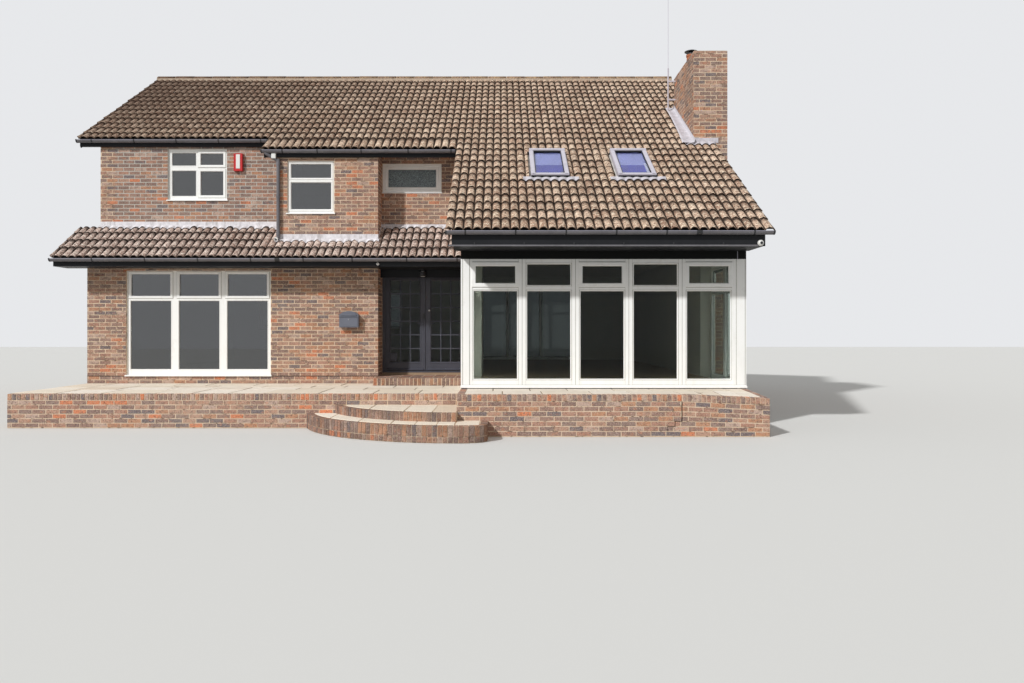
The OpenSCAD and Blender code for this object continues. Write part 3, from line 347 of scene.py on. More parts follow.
def mortar_look(name):
    """Sandy mortar on the CAD walls, plaster on their faces that look into the rooms."""
    n = Nodes(name)
    place = n.xyz()
    sand = n.noise(90, 4, 0.7)
    outer = n.ramp(n.noise(1.6, 4, 0.65),
                   stops(((0.3, (204, 180, 152)), (0.55, (226, 204, 178)), (0.75, (194, 168, 142)))))
    outer = n.stain(outer, sand, 0.5, 0.75, 0.4, (156, 130, 108))
    outer = n.stain(outer, n.noise(9, 4, 0.75), 0.55, 0.63, 0.8, (92, 70, 56))
    inside = None
    for x0, x1, y0, y1 in ROOMS:
        a = n.math("MULTIPLY", n.math("GREATER_THAN", place["X"], x0), n.math("LESS_THAN", place["X"], x1))
        b = n.math("MULTIPLY", n.math("GREATER_THAN", place["Y"], y0), n.math("LESS_THAN", place["Y"], y1))
        room = n.math("MULTIPLY", a, b)
        inside = room if inside is None else n.math("MAXIMUM", inside, room)
    n.bump(sand, 0.5, 0.004)
    return n.finish(n.mix(inside, outer, lin(196, 192, 182)), 0.93, spec=0.2)


def tile_look(name, base, lichen=(255, 238, 212), lichen_at=0.54):
    """Weathered concrete tile, mottled with lichen and moss, with painted shade where the per-point shade
    amount is high: in the valleys, under the laps and on the tile fronts.
    """
    n = Nodes(name)
    colour = n.ramp(n.attr("tone"), base)
    colour = n.stain(colour, n.noise(1.3, 4, 0.6), 0.42, 0.7, 0.3, (150, 112, 92))
    crust = n.noise(20, 5, 0.8)
    colour = n.stain(colour, crust, lichen_at - 0.04, lichen_at + 0.02, 0.85, lichen)
    colour = n.stain(colour, n.noise(34, 4, 0.7), 0.53, 0.58, 0.9, (78, 58, 48))
    # Painted shade: the per-point amount, broken up by the crust's mottle, darkens valleys, laps and tile
    # fronts to near black
    edge = n.math("ADD", n.attr("painted_shade"), n.math("MULTIPLY", n.math("SUBTRACT", crust, 0.5), 1.6))
    colour = n.stain(colour, edge, 0.42, 0.85, 0.97, (40, 29, 24))
    # Painted shade, darker towards the upper left, as in the photo
    place = n.xyz()
    west = n.math("SUBTRACT", 1.0, n.band(place["X"], -6.5, 1.0))
    shade = n.math("MULTIPLY", n.math("MULTIPLY", west, n.band(place["Z"], 3.6, 7.0)), 0.75)
    colour = n.mix(shade, colour, lin(80, 60, 50))
    n.bump(n.math("ADD", n.noise(180, 3, 0.7), crust), 0.9, 0.008)
    return n.finish(colour, 0.95, spec=0.15)


def plain_look(name, rgb, rough=0.5, vary=0.06, scale=6.0, metal=0.0, dirt=None, bump=0.05, spec=0.5):
    """Coated or moulded surface with a little unevenness and, if given, dirt in patches."""
    n = Nodes(name)
    c = lin(*rgb)
    low = tuple(x*(1 - vary*2) for x in c)
    high = tuple(min(1.0, x*(1 + vary)) for x in c)
    soft = n.noise(scale, 4, 0.6)
    colour = n.ramp(soft, [(0.3, low), (0.7, high)])
    if dirt:
        colour = n.stain(colour, n.noise(5, 5, 0.7, stretch=(2.2, 2.2, 0.5)), 0.5, 0.78, dirt[1], dirt[0])
    n.bump(n.noise(240, 2, 0.6), bump, 0.001)
    return n.finish(colour, n.math("ADD", n.math("MULTIPLY", soft, 0.2), rough - 0.1), metal, spec)


def stone_look(name):
    """Pale sandstone with clouds and veins, each slab in its own tone."""
    n = Nodes(name)
    colour = n.ramp(n.attr("tone"), STONES)
    colour = n.stain(colour, n.noise(4, 6, 0.7), 0.48, 0.75, 0.45, (208, 190, 166))
    vein = n.noise(16, 5, 0.75, stretch=(1, 2.4, 1))
    colour = n.stain(colour, vein, 0.55, 0.7, 0.35, (240, 232, 218))
    n.bump(n.math("ADD", vein, n.math("MULTIPLY", n.noise(120, 3), 0.5)), 0.5, 0.006)
    return n.finish(colour, 0.9, spec=0.2)


def glass_look(name, tint, ior=1.45):
    """Clear glass, slightly uneven; a higher ior mirrors more."""
    n = Nodes(name)
    n.bsdf.inputs["Transmission Weight"].default_value = 1.0
    n.bsdf.inputs["IOR"].default_value = ior
    n.bump(n.noise(2.2, 2, 0.5), 0.02, 0.01)
    return n.finish(tint, 0.0)


def obscured_look(name):
    """Patterned bathroom glass as an opaque pane, dark from outside: painted shade of the room behind, with
    paler painted light along its ripples.
    """
    n = Nodes(name)
    ripple = n.noise(60, 2, 0.5, stretch=(1.0, 1.0, 1.6))
    colour = n.ramp(ripple, stops(((0.35, (52, 60, 62)), (0.5, (84, 98, 100)), (0.65, (132, 146, 146)))))
    n.bump(ripple, 0.8, 0.004)
    return n.finish(colour, 0.25, spec=0.6)


LOOKS = {
    "brick": brick_look("brick_pieces"),
    "wall_brick": brick_look("wall_brick_pieces", 0.26),
    "old_brick": brick_look("step_brick_pieces", 0.55),
    "mortar": mortar_look("wall_mortar"),
    "tile": tile_look("roof_tile", TILES),
    "lean_tile": tile_look("lean_to_tile", LEAN_TILES, (255, 242, 228)),
    "ridge": tile_look("ridge_tile", RIDGES, (196, 168, 120), 0.55),
    "glass": glass_look("clear_glass", (0.7, 0.76, 0.72), 1.22),
    # Nearly black tint: painted shade of the dim rooms behind the front windows
    "dim_glass": glass_look("glass_darkened_as_room_shade", (0.16, 0.18, 0.2), 2.1),
    "sky_glass": glass_look("rooflight_glass", (0.6, 0.64, 0.86), 1.3),
    # Nearly black tint: painted shade of the dim rooms behind the back windows
    "dark_glass": glass_look("rear_glass_darkened_as_room_shade", (0.03, 0.034, 0.036)),
    "obscure": obscured_look("obscured_pane"),
    "stone": stone_look("sandstone_slabs"),
}
for key, name, rgb, rough, vary, scale, more in (
        ("dark", "anthracite_board", (34, 35, 38), 0.45, 0.08, 3, dict(dirt=((46, 46, 50), 0.3), spec=0.15)),
        # The board over the glazing: the fascia's anthracite made darker, as painted shade from the eaves
        ("beam", "beam_board_in_painted_shade", (20, 21, 20), 0.5, 0.08, 3, dict(dirt=((28, 29, 28), 0.3), spec=0.1)),
        ("gutter", "gutter_dark", (108, 106, 110), 0.35, 0.1, 3, dict(dirt=((140, 136, 134), 0.5), spec=0.4)),
        # Pale grey for the board joint's trim, and as a painted highlight on the gutters' front rims
        ("lip", "pale_trim_and_rim_highlight", (150, 148, 160), 0.4, 0.05, 3, dict(dirt=((96, 94, 98), 0.4))),
        ("door", "door_paint", (74, 75, 84), 0.35, 0.05, 4, dict(dirt=((50, 51, 57), 0.3), spec=0.3)),
        ("white", "white_frame", (249, 249, 246), 0.3, 0.01, 2, dict(dirt=((224, 220, 210), 0.35))),
        # Grey lines on the white frames: the sashes' joints, and painted shade in the grooves
        ("seam", "frame_joints_and_groove_shade", (176, 174, 166), 0.6, 0.06, 8, {}),
        ("casing", "letter_box_paint", (104, 108, 120), 0.35, 0.06, 5, {}),
        ("lead", "lead_sheet", (204, 200, 206), 0.55, 0.08, 7,
         dict(dirt=((150, 146, 152), 0.7), bump=0.3, spec=0.3)),
        ("pale_lead", "whitened_lead", (226, 223, 226), 0.6, 0.1, 12,
         dict(dirt=((150, 142, 138), 0.8), bump=0.3, spec=0.3)),
        ("grey", "grey_cover", (200, 196, 206), 0.45, 0.05, 4, dict(dirt=((160, 156, 162), 0.4))),
        ("black", "black_metal", (34, 35, 38), 0.45, 0.1, 6, {}),
        ("steel", "bright_metal", (196, 198, 200), 0.25, 0.05, 8, dict(metal=0.9)),
        ("clay", "clay_pot", (176, 108, 74), 0.8, 0.12, 12, dict(dirt=((90, 66, 52), 0.5), bump=0.3)),
        ("pale", "pale_casing", (232, 232, 228), 0.35, 0.03, 4, dict(dirt=((190, 186, 178), 0.3))),
        ("bed", "mortar_bed", (150, 130, 108), 0.95, 0.12, 20, dict(bump=0.4, spec=0.2)),
        ("fill", "verge_mortar", (196, 178, 158), 0.95, 0.15, 30,
         dict(dirt=((120, 100, 84), 0.6), bump=0.5, spec=0.2)),
        ("felt", "dark_underlay", (26, 22, 20), 0.95, 0.1, 20, dict(spec=0.1)),
        ("gap", "open_joint", (34, 28, 26), 0.95, 0.1, 30, dict(spec=0.1)),
        ("red", "red_casing", (196, 34, 36), 0.35, 0.04, 6, {}),
        ("screed", "floor_finish", (150, 128, 104), 0.6, 0.08, 3, {}),
        ("plaster", "plaster", (206, 202, 192), 0.85, 0.03, 2, {}),
        ("night", "deep_blue_shade", (52, 56, 178), 0.6, 0.05, 6, {}),
        ("blind", "blind_cloth", (196, 198, 222), 0.9, 0.03, 10, {})):
    LOOKS[key] = plain_look(name, rgb, rough, vary, scale, **more)


def make(shape, name, key, body="house", smooth=False, replaces=()):
    """The finished piece with its look, riding on a body."""
    mesh = bpy.data.meshes.new(name)
    mesh.from_pydata([tuple(p) for p in shape.v], [], shape.f)
    mesh.attributes.new("tone", "FLOAT", "FACE").data.foreach_set("value", shape.tone)
    # The per-point amount of painted shade goes on as a point attribute
    mesh.attributes.new("painted_shade", "FLOAT", "POINT").data.foreach_set("value", shape.painted_shade)
    if smooth:
        mesh.polygons.foreach_set("use_smooth", [True]*len(mesh.polygons))
    mesh.update()
    obj = bpy.data.objects.new(name, mesh)
    bpy.context.scene.collection.objects.link(obj)
    mesh.materials.append(LOOKS[key])
    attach(obj, body)
    if replaces:
        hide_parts(*replaces)


CAD_LOOKS = {
    "mortar": "front_wall_ground entrance_return_wall entrance_wall upper_wall_left upper_wall_middle "
              "garden_room_left_wall left_gable_wall right_gable_wall rear_wall garden_room_base "
              "chimney_stack terrace entrance_steps",
    "white": "garden_room_frame garden_room_side_frames front_window_frames tall_window_frame "
             "rear_window_frames",
    "glass": "garden_room_glass door_glass_left door_glass_right", "sky_glass": "rooflight_glass",
    "dim_glass": "front_window_glass", "dark_glass": "rear_window_glass",
    "screed": "ground_floor", "plaster": "first_floor front_rafters rear_rafters", "bed": "paving",
    "tile": "front_tiles rear_tiles", "ridge": "ridge_tiles", "felt": "lean_to_roof",
    "lead": "lead_flashings", "clay": "chimney_pot", "black": "chimney_cowl porch_lamp",
    "grey": "rooflights aerial", "dark": "eaves_boards", "gutter": "gutters downpipes",
    "beam": "garden_room_beam", "door": "door_frame front_door_left front_door_right",
    "casing": "letter_box", "red": "alarm_box", "pale": "security_camera",
}
for key, nodes in CAD_LOOKS.items():
    for node in nodes.split():
        materials = NODES[node].data.materials
        materials.clear()
        materials.append(LOOKS[key])

# ---------------------------------------------------------------- brickwork
BRICK_L, COURSE, JOINT = 0.225, 0.075, 0.012
PROUD, WORN, LEAST = 0.003, 0.0015, 0.014       # how far faces stand out, edges wear, smallest piece
DPC_Z = 0.712
BED = DPC_Z - 9*COURSE
COPING_OUT, SAG_FADE = 0.008, 0.4
# Gap under the roof, the lean-to's thickness under its tiles, and the foot of the bay's upper wall
WALL_GAP, LEAN_T, BAY_UP_Z = 0.004, 0.16, 3.37
# Courses are laid from the entrance's foot, or up to these heights, and the roofs cut them off
FOOT_Z, LOW_TOP, LEAN_TOP, SIDE_TOP, WALL_TOP, GABLE_TOP = 0.7, 3.2, 3.6, 4.7, 5.4, 7.75


def minus(rect, holes):
    """Parts of a rectangle (u0, u1, z0, z1) outside the holes."""
    parts = [rect]
    for a0, a1, b0, b1 in holes:
        out = []
        for u0, u1, z0, z1 in parts:
            if a1 <= u0 or a0 >= u1 or b1 <= z0 or b0 >= z1:
                out.append((u0, u1, z0, z1))
                continue
            m0, m1 = max(u0, a0), min(u1, a1)
            out += [q for q in ((u0, a0, z0, z1), (a1, u1, z0, z1), (m0, m1, z0, b0), (m0, m1, b1, z1))
                    if q[1] > q[0] and q[3] > q[2]]
        parts = out
    return parts


def pieces_of(a0, a1, size, gap=JOINT/2):
    """Places (from, to) of equal pieces about as long as size, with a joint between them."""
    n = max(1, round((a1 - a0)/size))
    step = (a1 - a0)/n
    return [(a0 + i*step + gap, a0 + (i + 1)*step - gap) for i in range(n)]


def brickwork(s, u0, u1, z0, z1, rnd, holes=(), top=None, bottom=None, shift=0.0, lift=BED, sink=None):
    """Stretcher bond over a wall face; top and bottom give sloping limits by place along it."""
    for k in range(math.floor((z0 - lift)/COURSE), math.ceil((z1 - lift)/COURSE)):
        za, zb = max(z0, k*COURSE + lift + JOINT/2), min(z1, (k + 1)*COURSE + lift - JOINT/2)
        if zb - za < LEAST:
            continue
        u = math.floor((u0 - shift)/BRICK_L)*BRICK_L + shift + (BRICK_L/2 if k % 2 else 0) - BRICK_L
        while u < u1:
            ua, ub = max(u0, u + JOINT/2), min(u1, u + BRICK_L - JOINT/2)
            u += BRICK_L
            if ub - ua < LEAST:
                continue
            tone, push = rnd.random(), rnd.uniform(-WORN, WORN)
            for a, b, c, d in minus((ua, ub, za, zb), holes):
                if b - a < LEAST or d - c < LEAST:
                    continue
                da, db = (min(d, top(a)), min(d, top(b))) if top else (d, d)
                ca, cb = (max(c, bottom(a)), max(c, bottom(b))) if bottom else (c, c)
                if da - ca < LEAST or db - cb < LEAST:
                    continue
                pts = [(a, ca), (b, cb), (b, db), (a, da)]
                if sink:
                    pts = [(q, h - sink(q)*min(1.0, h/SAG_FADE)) for q, h in pts]
                pts = [(q + rnd.uniform(-WORN, WORN), h + rnd.uniform(-WORN, WORN)) for q, h in pts]
                s.pad(pts, -0.002, PROUD + push, 0.002, tone)


def soldiers(s, u0, u1, z0, z1, rnd, sink=None, proud=PROUD):
    """Row of bricks on end or on edge."""
    for a, b in pieces_of(u0, u1, COURSE):
        da, db = (sink(a), sink(b)) if sink else (0.0, 0.0)
        w = rnd.uniform(-WORN, WORN)
        s.pad([(a + w, z0 - da), (b - w, z0 - db + w), (b + w, z1 - db), (a - w, z1 - da)], -0.002,
              proud + rnd.uniform(-0.001, 0.002), 0.004, rnd.random())


def under_roof(y):
    """Top of a wall's bricks under the main roof."""
    return under_z(y) - WALL_GAP


def under_lean(y):
    """Top of a wall's bricks under the lean-to."""
    return lean_z(y) - LEAN_T


rnd = random.Random(11)
s = on_front(Y_BAY)
brickwork(s, X_LEFT - PROUD, X_PORCH + PROUD, 0.0, LOW_TOP, rnd, [DINING], top=lambda u: under_lean(Y_BAY))
brickwork(s, X_BAY, X_PORCH + PROUD, BAY_UP_Z, under_roof(Y_BAY), rnd, [UPPER_MID])
make(s, "bay_front_bricks", "wall_brick")

s = on_front(Y_FRONT)
brickwork(s, X_LEFT - PROUD, X_BAY, lean_z(Y_FRONT) - 0.02, under_roof(Y_FRONT), rnd, [UPPER_LEFT])
brickwork(s, X_PORCH, X_LOUNGE, DOOR_TOP, under_roof(Y_FRONT), rnd, [SMALL])
make(s, "upper_front_bricks", "wall_brick")

s = Shape().on(LEFT, X_BAY)
brickwork(s, Y_BAY - PROUD, Y_FRONT - PROUD, BAY_UP_Z, WALL_TOP, rnd, top=under_roof, bottom=lean_z)
s.on(RIGHT, X_PORCH)
brickwork(s, Y_BAY, Y_FRONT - PROUD, FOOT_Z, WALL_TOP, rnd, top=under_roof)
make(s, "bay_return_bricks", "wall_brick")

s = Shape().on(LEFT, X_LEFT)
brickwork(s, Y_BAY - PROUD, Y_FRONT, 0.0, LEAN_TOP, rnd, top=under_lean)
brickwork(s, Y_FRONT, Y_REAR + PROUD, 0.0, GABLE_TOP, rnd, [GABLE_WINDOW], top=under_roof)
make(s, "left_gable_bricks", "wall_brick")

s = Shape().on(RIGHT, X_RIGHT)
brickwork(s, Y_GLASS + FRAME_D, Y_SIDE, HEAD_Z, SIDE_TOP, rnd, top=under_roof)
brickwork(s, Y_SIDE, Y_REAR + PROUD, 0.0, GABLE_TOP, rnd, [GABLE_WINDOW, (STACK_Y0, STACK_Y1, 0, 8)],
          top=under_roof)
make(s, "right_gable_bricks", "wall_brick")

s = Shape().on(BACK, Y_REAR)
rear_sill, low_sill = 4.257, 1.65
rear_holes = [(X_LEFT + a, X_LEFT + a + w, z, z + h) for a, w, z, h in (
    (1.0, 1.2, rear_sill, 1.05), (4.3, 0.92, rear_sill, 1.05), (6.7, 1.2, rear_sill, 1.05),
    (9.5, 1.2, rear_sill, 1.05), (1.0, 1.2, low_sill, 1.15), (4.3, 0.92, low_sill, 1.15),
    (7.3, 3.0, FLOOR_Z, 2.1))]
brickwork(s, X_LEFT - PROUD, X_RIGHT + PROUD, 0.0, under_roof(Y_REAR), rnd, rear_holes)
make(s, "rear_wall_bricks", "wall_brick")

# The garden room's left side: over its side frames, and the wall that faces the entrance
s = Shape().on(LEFT, X_LOUNGE)
brickwork(s, Y_GLASS + FRAME_D, Y_SIDE, HEAD_Z, SIDE_TOP, rnd, top=under_roof)
brickwork(s, Y_SIDE, Y_FRONT, FOOT_Z, WALL_TOP, rnd, top=under_roof)
make(s, "garden_room_side_bricks", "brick")

# Chimney
s = Shape()
for y, axes in ((STACK_Y0, FRONT), (STACK_Y1, BACK)):
    s.on(axes, y)
    brickwork(s, STACK_X0 - PROUD, STACK_X1 + PROUD, 0.0, STACK_Z, rnd, shift=STACK_X0,
              bottom=lambda u: 0.0 if u > X_RIGHT + 0.01 else roof_z(y) - 0.02)
s.on(LEFT, STACK_X0)
brickwork(s, STACK_Y0, STACK_Y1, 4.9, STACK_Z, rnd, shift=STACK_Y0, bottom=lambda u: roof_z(u) - 0.02)
s.on(RIGHT, STACK_X1)
brickwork(s, STACK_Y0, STACK_Y1, 0.0, STACK_Z, rnd, shift=STACK_Y0)
make(s, "chimney_bricks", "wall_brick")

# ------------------------------------------ terrace, garden room base and steps: bricks on edge, stone slabs
SLAB_UP = 0.007


def base_drop(x, y):
    """How far the sunken corner of the garden room's base has gone down at a place."""
    run, back = X_RIGHT - CRACK_X, Y_GLASS - Y_BASE - 0.03
    along = math.hypot(run, back)
    d = ((x - CRACK_X)*back - (y - Y_BASE)*run)/along
    return CORNER_SAG*max(0.0, d)/(run*back/along)


def base_z(x, y):
    return PLINTH_Z - base_drop(x, y)


def lid(s, pts, top, inset, tone, up=PROUD, depth=0.012):
    """Stone or brick seen from above: convex outline pts (x, y), top(x, y) the height of its bed."""
    n = len(pts)
    cx, cy = sum(p[0] for p in pts)/n, sum(p[1] for p in pts)/n
    low = [(x, y, top(x, y) + up - depth) for x, y in pts]
    high = []
    for x, y in pts:
        r = math.hypot(cx - x, cy - y)
        k = min(1.0, 1.4*inset/r)
        x, y = x + (cx - x)*k, y + (cy - y)*k
        high.append((x, y, top(x, y) + up))
    f = [tuple(range(n, 2*n))] + [(i, (i + 1) % n, n + (i + 1) % n, n + i) for i in range(n)]
    s.add(low + high, f, tone)


def flat(z):
    """A level bed for lids."""
    return lambda x, y: z


def row_of_lids(s, x0, x1, y0, y1, top, rnd, pitch=COURSE, along_y=False):
    """Brick tops side by side along X, or along Y."""
    for a, b in pieces_of(*((y0, y1) if along_y else (x0, x1)), pitch):
        pts = corners(x0, x1, a, b) if along_y else corners(a, b, y0, y1)
        lid(s, pts, top, 0.003, rnd.random(), PROUD + rnd.uniform(-0.001, 0.001))


rnd = random.Random(21)
s = on_front(Y_TERRACE)
coping_z = TERRACE_Z - BORDER
soldiers(s, X_LEFT - PROUD, X_LOUNGE, coping_z + JOINT/2, TERRACE_Z, rnd, proud=COPING_OUT)
brickwork(s, X_LEFT - PROUD, X_LOUNGE, 0.0, coping_z, rnd,
          [(-1.1, X_LOUNGE, 0.0, 0.22), (-0.62, X_LOUNGE, 0.0, 0.36)], lift=coping_z - 6*COURSE, shift=0.05)
s.on(LEFT, X_LEFT)
soldiers(s, Y_TERRACE, Y_BAY, coping_z + JOINT/2, TERRACE_Z, rnd)
brickwork(s, Y_TERRACE, Y_BAY, 0.0, coping_z, rnd, lift=coping_z - 6*COURSE)
s.on(WORLD, 0)
row_of_lids(s, X_LEFT, X_LOUNGE, Y_TERRACE, Y_TERRACE + BORDER, flat(TERRACE_Z), rnd)
make(s, "terrace_bricks", "brick")

s = on_front(Y_BASE)
coping_z = PLINTH_Z - BORDER
base_lift = coping_z - 7*COURSE
CRACK_L, CRACK_R = CRACK_X - 0.008, CRACK_X + 0.006
CRACK = [(CRACK_L, CRACK_R, 0.236, 0.535), (CRACK_X - 0.11, CRACK_R, 0.232, 0.24),
         (CRACK_X - 0.11, CRACK_X - 0.1, 0.158, 0.24), (CRACK_X - 0.22, CRACK_X - 0.1, 0.157, 0.166),
         (CRACK_X - 0.22, CRACK_X - 0.212, 0.085, 0.166)]


def front_sink(x):
    return base_drop(x, Y_BASE) if x > CRACK_X else 0.0


def side_sink(y):
    return base_drop(X_RIGHT, y)


for u0, u1 in ((X_LOUNGE - PROUD, CRACK_X - 0.002), (CRACK_X + 0.002, X_RIGHT + PROUD)):
    soldiers(s, u0, u1, coping_z + JOINT/2, PLINTH_Z, rnd, sink=front_sink, proud=COPING_OUT)
brickwork(s, X_LOUNGE - PROUD, X_RIGHT + PROUD, 0.0, coping_z, rnd, CRACK, lift=base_lift, shift=0.02,
          sink=front_sink)
s.on(LEFT, X_LOUNGE)
soldiers(s, Y_BASE, Y_GLASS, coping_z + JOINT/2, PLINTH_Z, rnd)
brickwork(s, Y_BASE, Y_GLASS, 0.0, coping_z, rnd, [(Y_TERRACE, 0, 0, TERRACE_Z)], lift=base_lift)
s.on(RIGHT, X_RIGHT)
soldiers(s, Y_BASE, Y_GLASS, coping_z + JOINT/2, PLINTH_Z, rnd, sink=side_sink)
brickwork(s, Y_BASE, Y_GLASS, 0.0, coping_z, rnd, lift=base_lift, sink=side_sink)
brickwork(s, Y_GLASS, Y_SIDE, 0.0, PLINTH_Z + 0.02, rnd)
s.on(WORLD, 0)
for u0, u1 in ((X_LOUNGE, CRACK_L), (CRACK_R, X_RIGHT)):
    row_of_lids(s, u0, u1, Y_BASE, Y_BASE + BORDER, base_z, rnd)
for u0 in (X_LOUNGE, X_RIGHT - BORDER):
    row_of_lids(s, u0, u0 + BORDER, Y_BASE + BORDER, Y_GLASS, base_z, rnd, along_y=True)
make(s, "garden_room_base_bricks", "brick")

# The crack in the base, and a dark strip filling the recess under the garden room's sill: painted shade
s = on_front(Y_BASE)
for u0, u1, z0, z1 in CRACK:
    s.pad(corners(u0, u1, z0, min(z1, PLINTH_Z + 0.002)), -0.001, 0.0015, 0.0)
# A dark strip in the recess under the sill's nose: painted shade
s.on(FRONT, Y_GLASS)
s.box((X_LOUNGE + 0.01, -0.001, PLINTH_Z + 0.004), (X_RIGHT - 0.16, 0.047, GLAZE_Z - 0.003))
make(s, "base_crack_and_sill_shade", "gap")

# Entrance step
TREAD_L, HALF_L = 0.215, 0.1075
s = on_front(PORCH_Y)
soldiers(s, X_PORCH, X_LOUNGE, TERRACE_Z + 0.004, PORCH_Z, rnd, proud=0.006)
s.on(LEFT, X_PORCH)
soldiers(s, PORCH_Y, Y_BAY, TERRACE_Z + 0.004, PORCH_Z, rnd)
s.on(WORLD, 0)
row_of_lids(s, X_PORCH, X_LOUNGE, PORCH_Y, PORCH_Y + TREAD_L, flat(PORCH_Z), rnd)
y = PORCH_Y + TREAD_L
while y < Y_FRONT - 0.03:
    row_of_lids(s, X_PORCH, X_LOUNGE, y + JOINT/2, min(y + HALF_L, Y_FRONT + 0.05) - JOINT/2,
                flat(PORCH_Z), rnd, pitch=BRICK_L)
    y += HALF_L

# Curved steps as (middle, middle, radius): bricks on end round the front, their tops, and the stone treads
UP_ARC, LOW_ARC = (STEP_X, UP_Y + UP_R, UP_R), (STEP_X, LOW_Y + LOW_R, LOW_R)
TREAD_GAP = 0.008


def on_arc(cx, cy, r, a):
    """Place on a circle at an angle from its front."""
    return cx + r*math.sin(a), cy - r*math.cos(a)


def radial_bricks(s, arc, a0, a1, z0, z1, rnd, tops=True):
    """Bricks on end along an arc, with their tops reaching BORDER inwards; angles from the front."""
    cx, cy, r = arc
    g = 0.004
    for a, b in pieces_of(a0, a1, COURSE/r, JOINT/2/r):
        out = COPING_OUT + rnd.uniform(-0.002, 0.003)
        tone = rnd.random()
        t = z1 + PROUD if tops else z1
        (pa, pb), (ia, ib), (ga, gb) = ([on_arc(cx, cy, q, a), on_arc(cx, cy, q, b)]
                                        for q in (r + out, r - 0.01, r + out - g))
        ba, bb = (on_arc(cx, cy, max(r - BORDER, 0.02), q) for q in (a, b)) if tops else (ia, ib)
        v = [(*pa, z0), (*pb, z0), (*pa, t - g), (*pb, t - g), (*ga, t), (*gb, t), (*ba, t), (*bb, t),
             (*ia, z0), (*ib, z0), (*ba, t - 0.01), (*bb, t - 0.01)]
        s.add(v, [(0, 1, 3, 2), (2, 3, 5, 4), (4, 5, 7, 6), (0, 2, 8), (1, 9, 3), (6, 7, 11, 10),
                  (2, 4, 6, 10), (3, 11, 7, 5)], tone)


def arc_ends(arc, x_end):
    """Angles where an arc leaves the terrace's front, and where it reaches x_end."""
    cx, cy, r = arc
    return -math.acos((cy - Y_TERRACE)/r), math.asin((x_end - cx)/r)


corner = (LOW_END - LOW_CORNER, LOW_Y + 0.02 + LOW_CORNER, LOW_CORNER)
radial_bricks(s, UP_ARC, *arc_ends(UP_ARC, X_LOUNGE), LOW_Z + 0.002, UP_Z, rnd)
for z0, z1, tops in ((LOW_FOOT, LOW_Z, True), (0.008, 0.085, False)):
    radial_bricks(s, LOW_ARC, *arc_ends(LOW_ARC, corner[0]), z0, z1, rnd, tops)
    radial_bricks(s, corner, 0.0, math.radians(90), z0, z1, rnd, tops)
s.on(RIGHT, LOW_END)
soldiers(s, corner[1], Y_BASE, LOW_FOOT, LOW_Z, rnd)
s.on(WORLD, 0)
row_of_lids(s, LOW_END - BORDER, LOW_END, corner[1], Y_BASE, flat(LOW_Z), rnd, along_y=True)
make(s, "step_bricks", "old_brick")


def tread(s, arc, x0, x1, cuts, y_back, z, rnd):
    """Stone tread behind an arc of brick tops, cut into pieces at the places in cuts."""
    cx, cy, r = arc
    r = r - BORDER - TREAD_GAP
    xs = [x0] + [c for c in cuts if x0 < c < x1] + [x1]
    for a, b in zip(xs, xs[1:]):
        a, b = a + 0.005, b - 0.005
        front = []
        for i in range(6):
            x = a + (b - a)*i/5
            if abs(x - cx) < r:
                y = cy - math.sqrt(r*r - (x - cx)**2)
                if y < y_back - 0.005:
                    front.append((x, y))
        if len(front) > 1:
            lid(s, front + [(front[-1][0], y_back), (front[0][0], y_back)], flat(z), 0.006, rnd.random(),
                SLAB_UP + rnd.uniform(-0.002, 0.002), 0.02)


def slab_rows(s, x0, x1, rows, widths, top, rnd):
    """Rows of stone slabs between the lines in rows."""
    for y0, y1 in zip(rows, rows[1:]):
        x = x0
        while x < x1 - 0.02:
            w = rnd.choice(widths)
            e = x1 if x1 - x - w < 0.3 else x + w
            tone, up = rnd.random(), SLAB_UP + rnd.uniform(-0.003, 0.002)
            lid(s, corners(x, e, y0, y1, 0.007), top, 0.006, tone, up, 0.02)
            x = e


s = Shape()
rnd = random.Random(8)
tread(s, UP_ARC, -0.62, X_LOUNGE, (-0.02, 0.56, 1.0), Y_TERRACE - 0.006, UP_Z, rnd)
tread(s, LOW_ARC, -1.12, X_LOUNGE - 0.005, (-0.62, -0.1, 0.42, 0.78, 1.1), Y_TERRACE - 0.01, LOW_Z, rnd)
tread(s, LOW_ARC, X_LOUNGE, LOW_END - BORDER - TREAD_GAP, (), Y_BASE - 0.006, LOW_Z, rnd)
make(s, "step_treads", "stone")

s = Shape()
terrace_rows = [Y_TERRACE + BORDER, -6.25, -5.68, PORCH_Y - 0.01, Y_BAY]
for x1, rows in ((X_LOUNGE, terrace_rows[:4]), (X_PORCH, terrace_rows[3:])):
    slab_rows(s, X_LEFT, x1, rows, (0.6, 0.75, 0.9), flat(TERRACE_Z), rnd)
for y0, y1, xs in ((Y_BASE + BORDER, -7.64, (2.05, 2.66, 3.42, 4.02, 4.765, 5.1, 5.4, 5.7)),
                   (-7.64, Y_GLASS, (1.9, 2.5, 3.1, 3.85, 4.46, 5.05, 5.4, 5.7))):
    cuts = [X_LOUNGE + BORDER, *xs, X_RIGHT - BORDER]
    for a, b in zip(cuts, cuts[1:]):
        lid(s, corners(a, b, y0, y1, 0.006), base_z, 0.005, rnd.random(),
            SLAB_UP + rnd.uniform(-0.002, 0.001), 0.016)
make(s, "stone_slabs", "stone")

# Damp course line
s = on_front(Y_BAY)
for u0, u1 in ((X_LEFT - 0.002, DINING[0]), (DINING[1], X_PORCH + 0.002)):
    s.box((u0, -0.001, DPC_Z - 0.006), (u1, 0.004, DPC_Z + 0.005))
make(s, "damp_course", "gap")

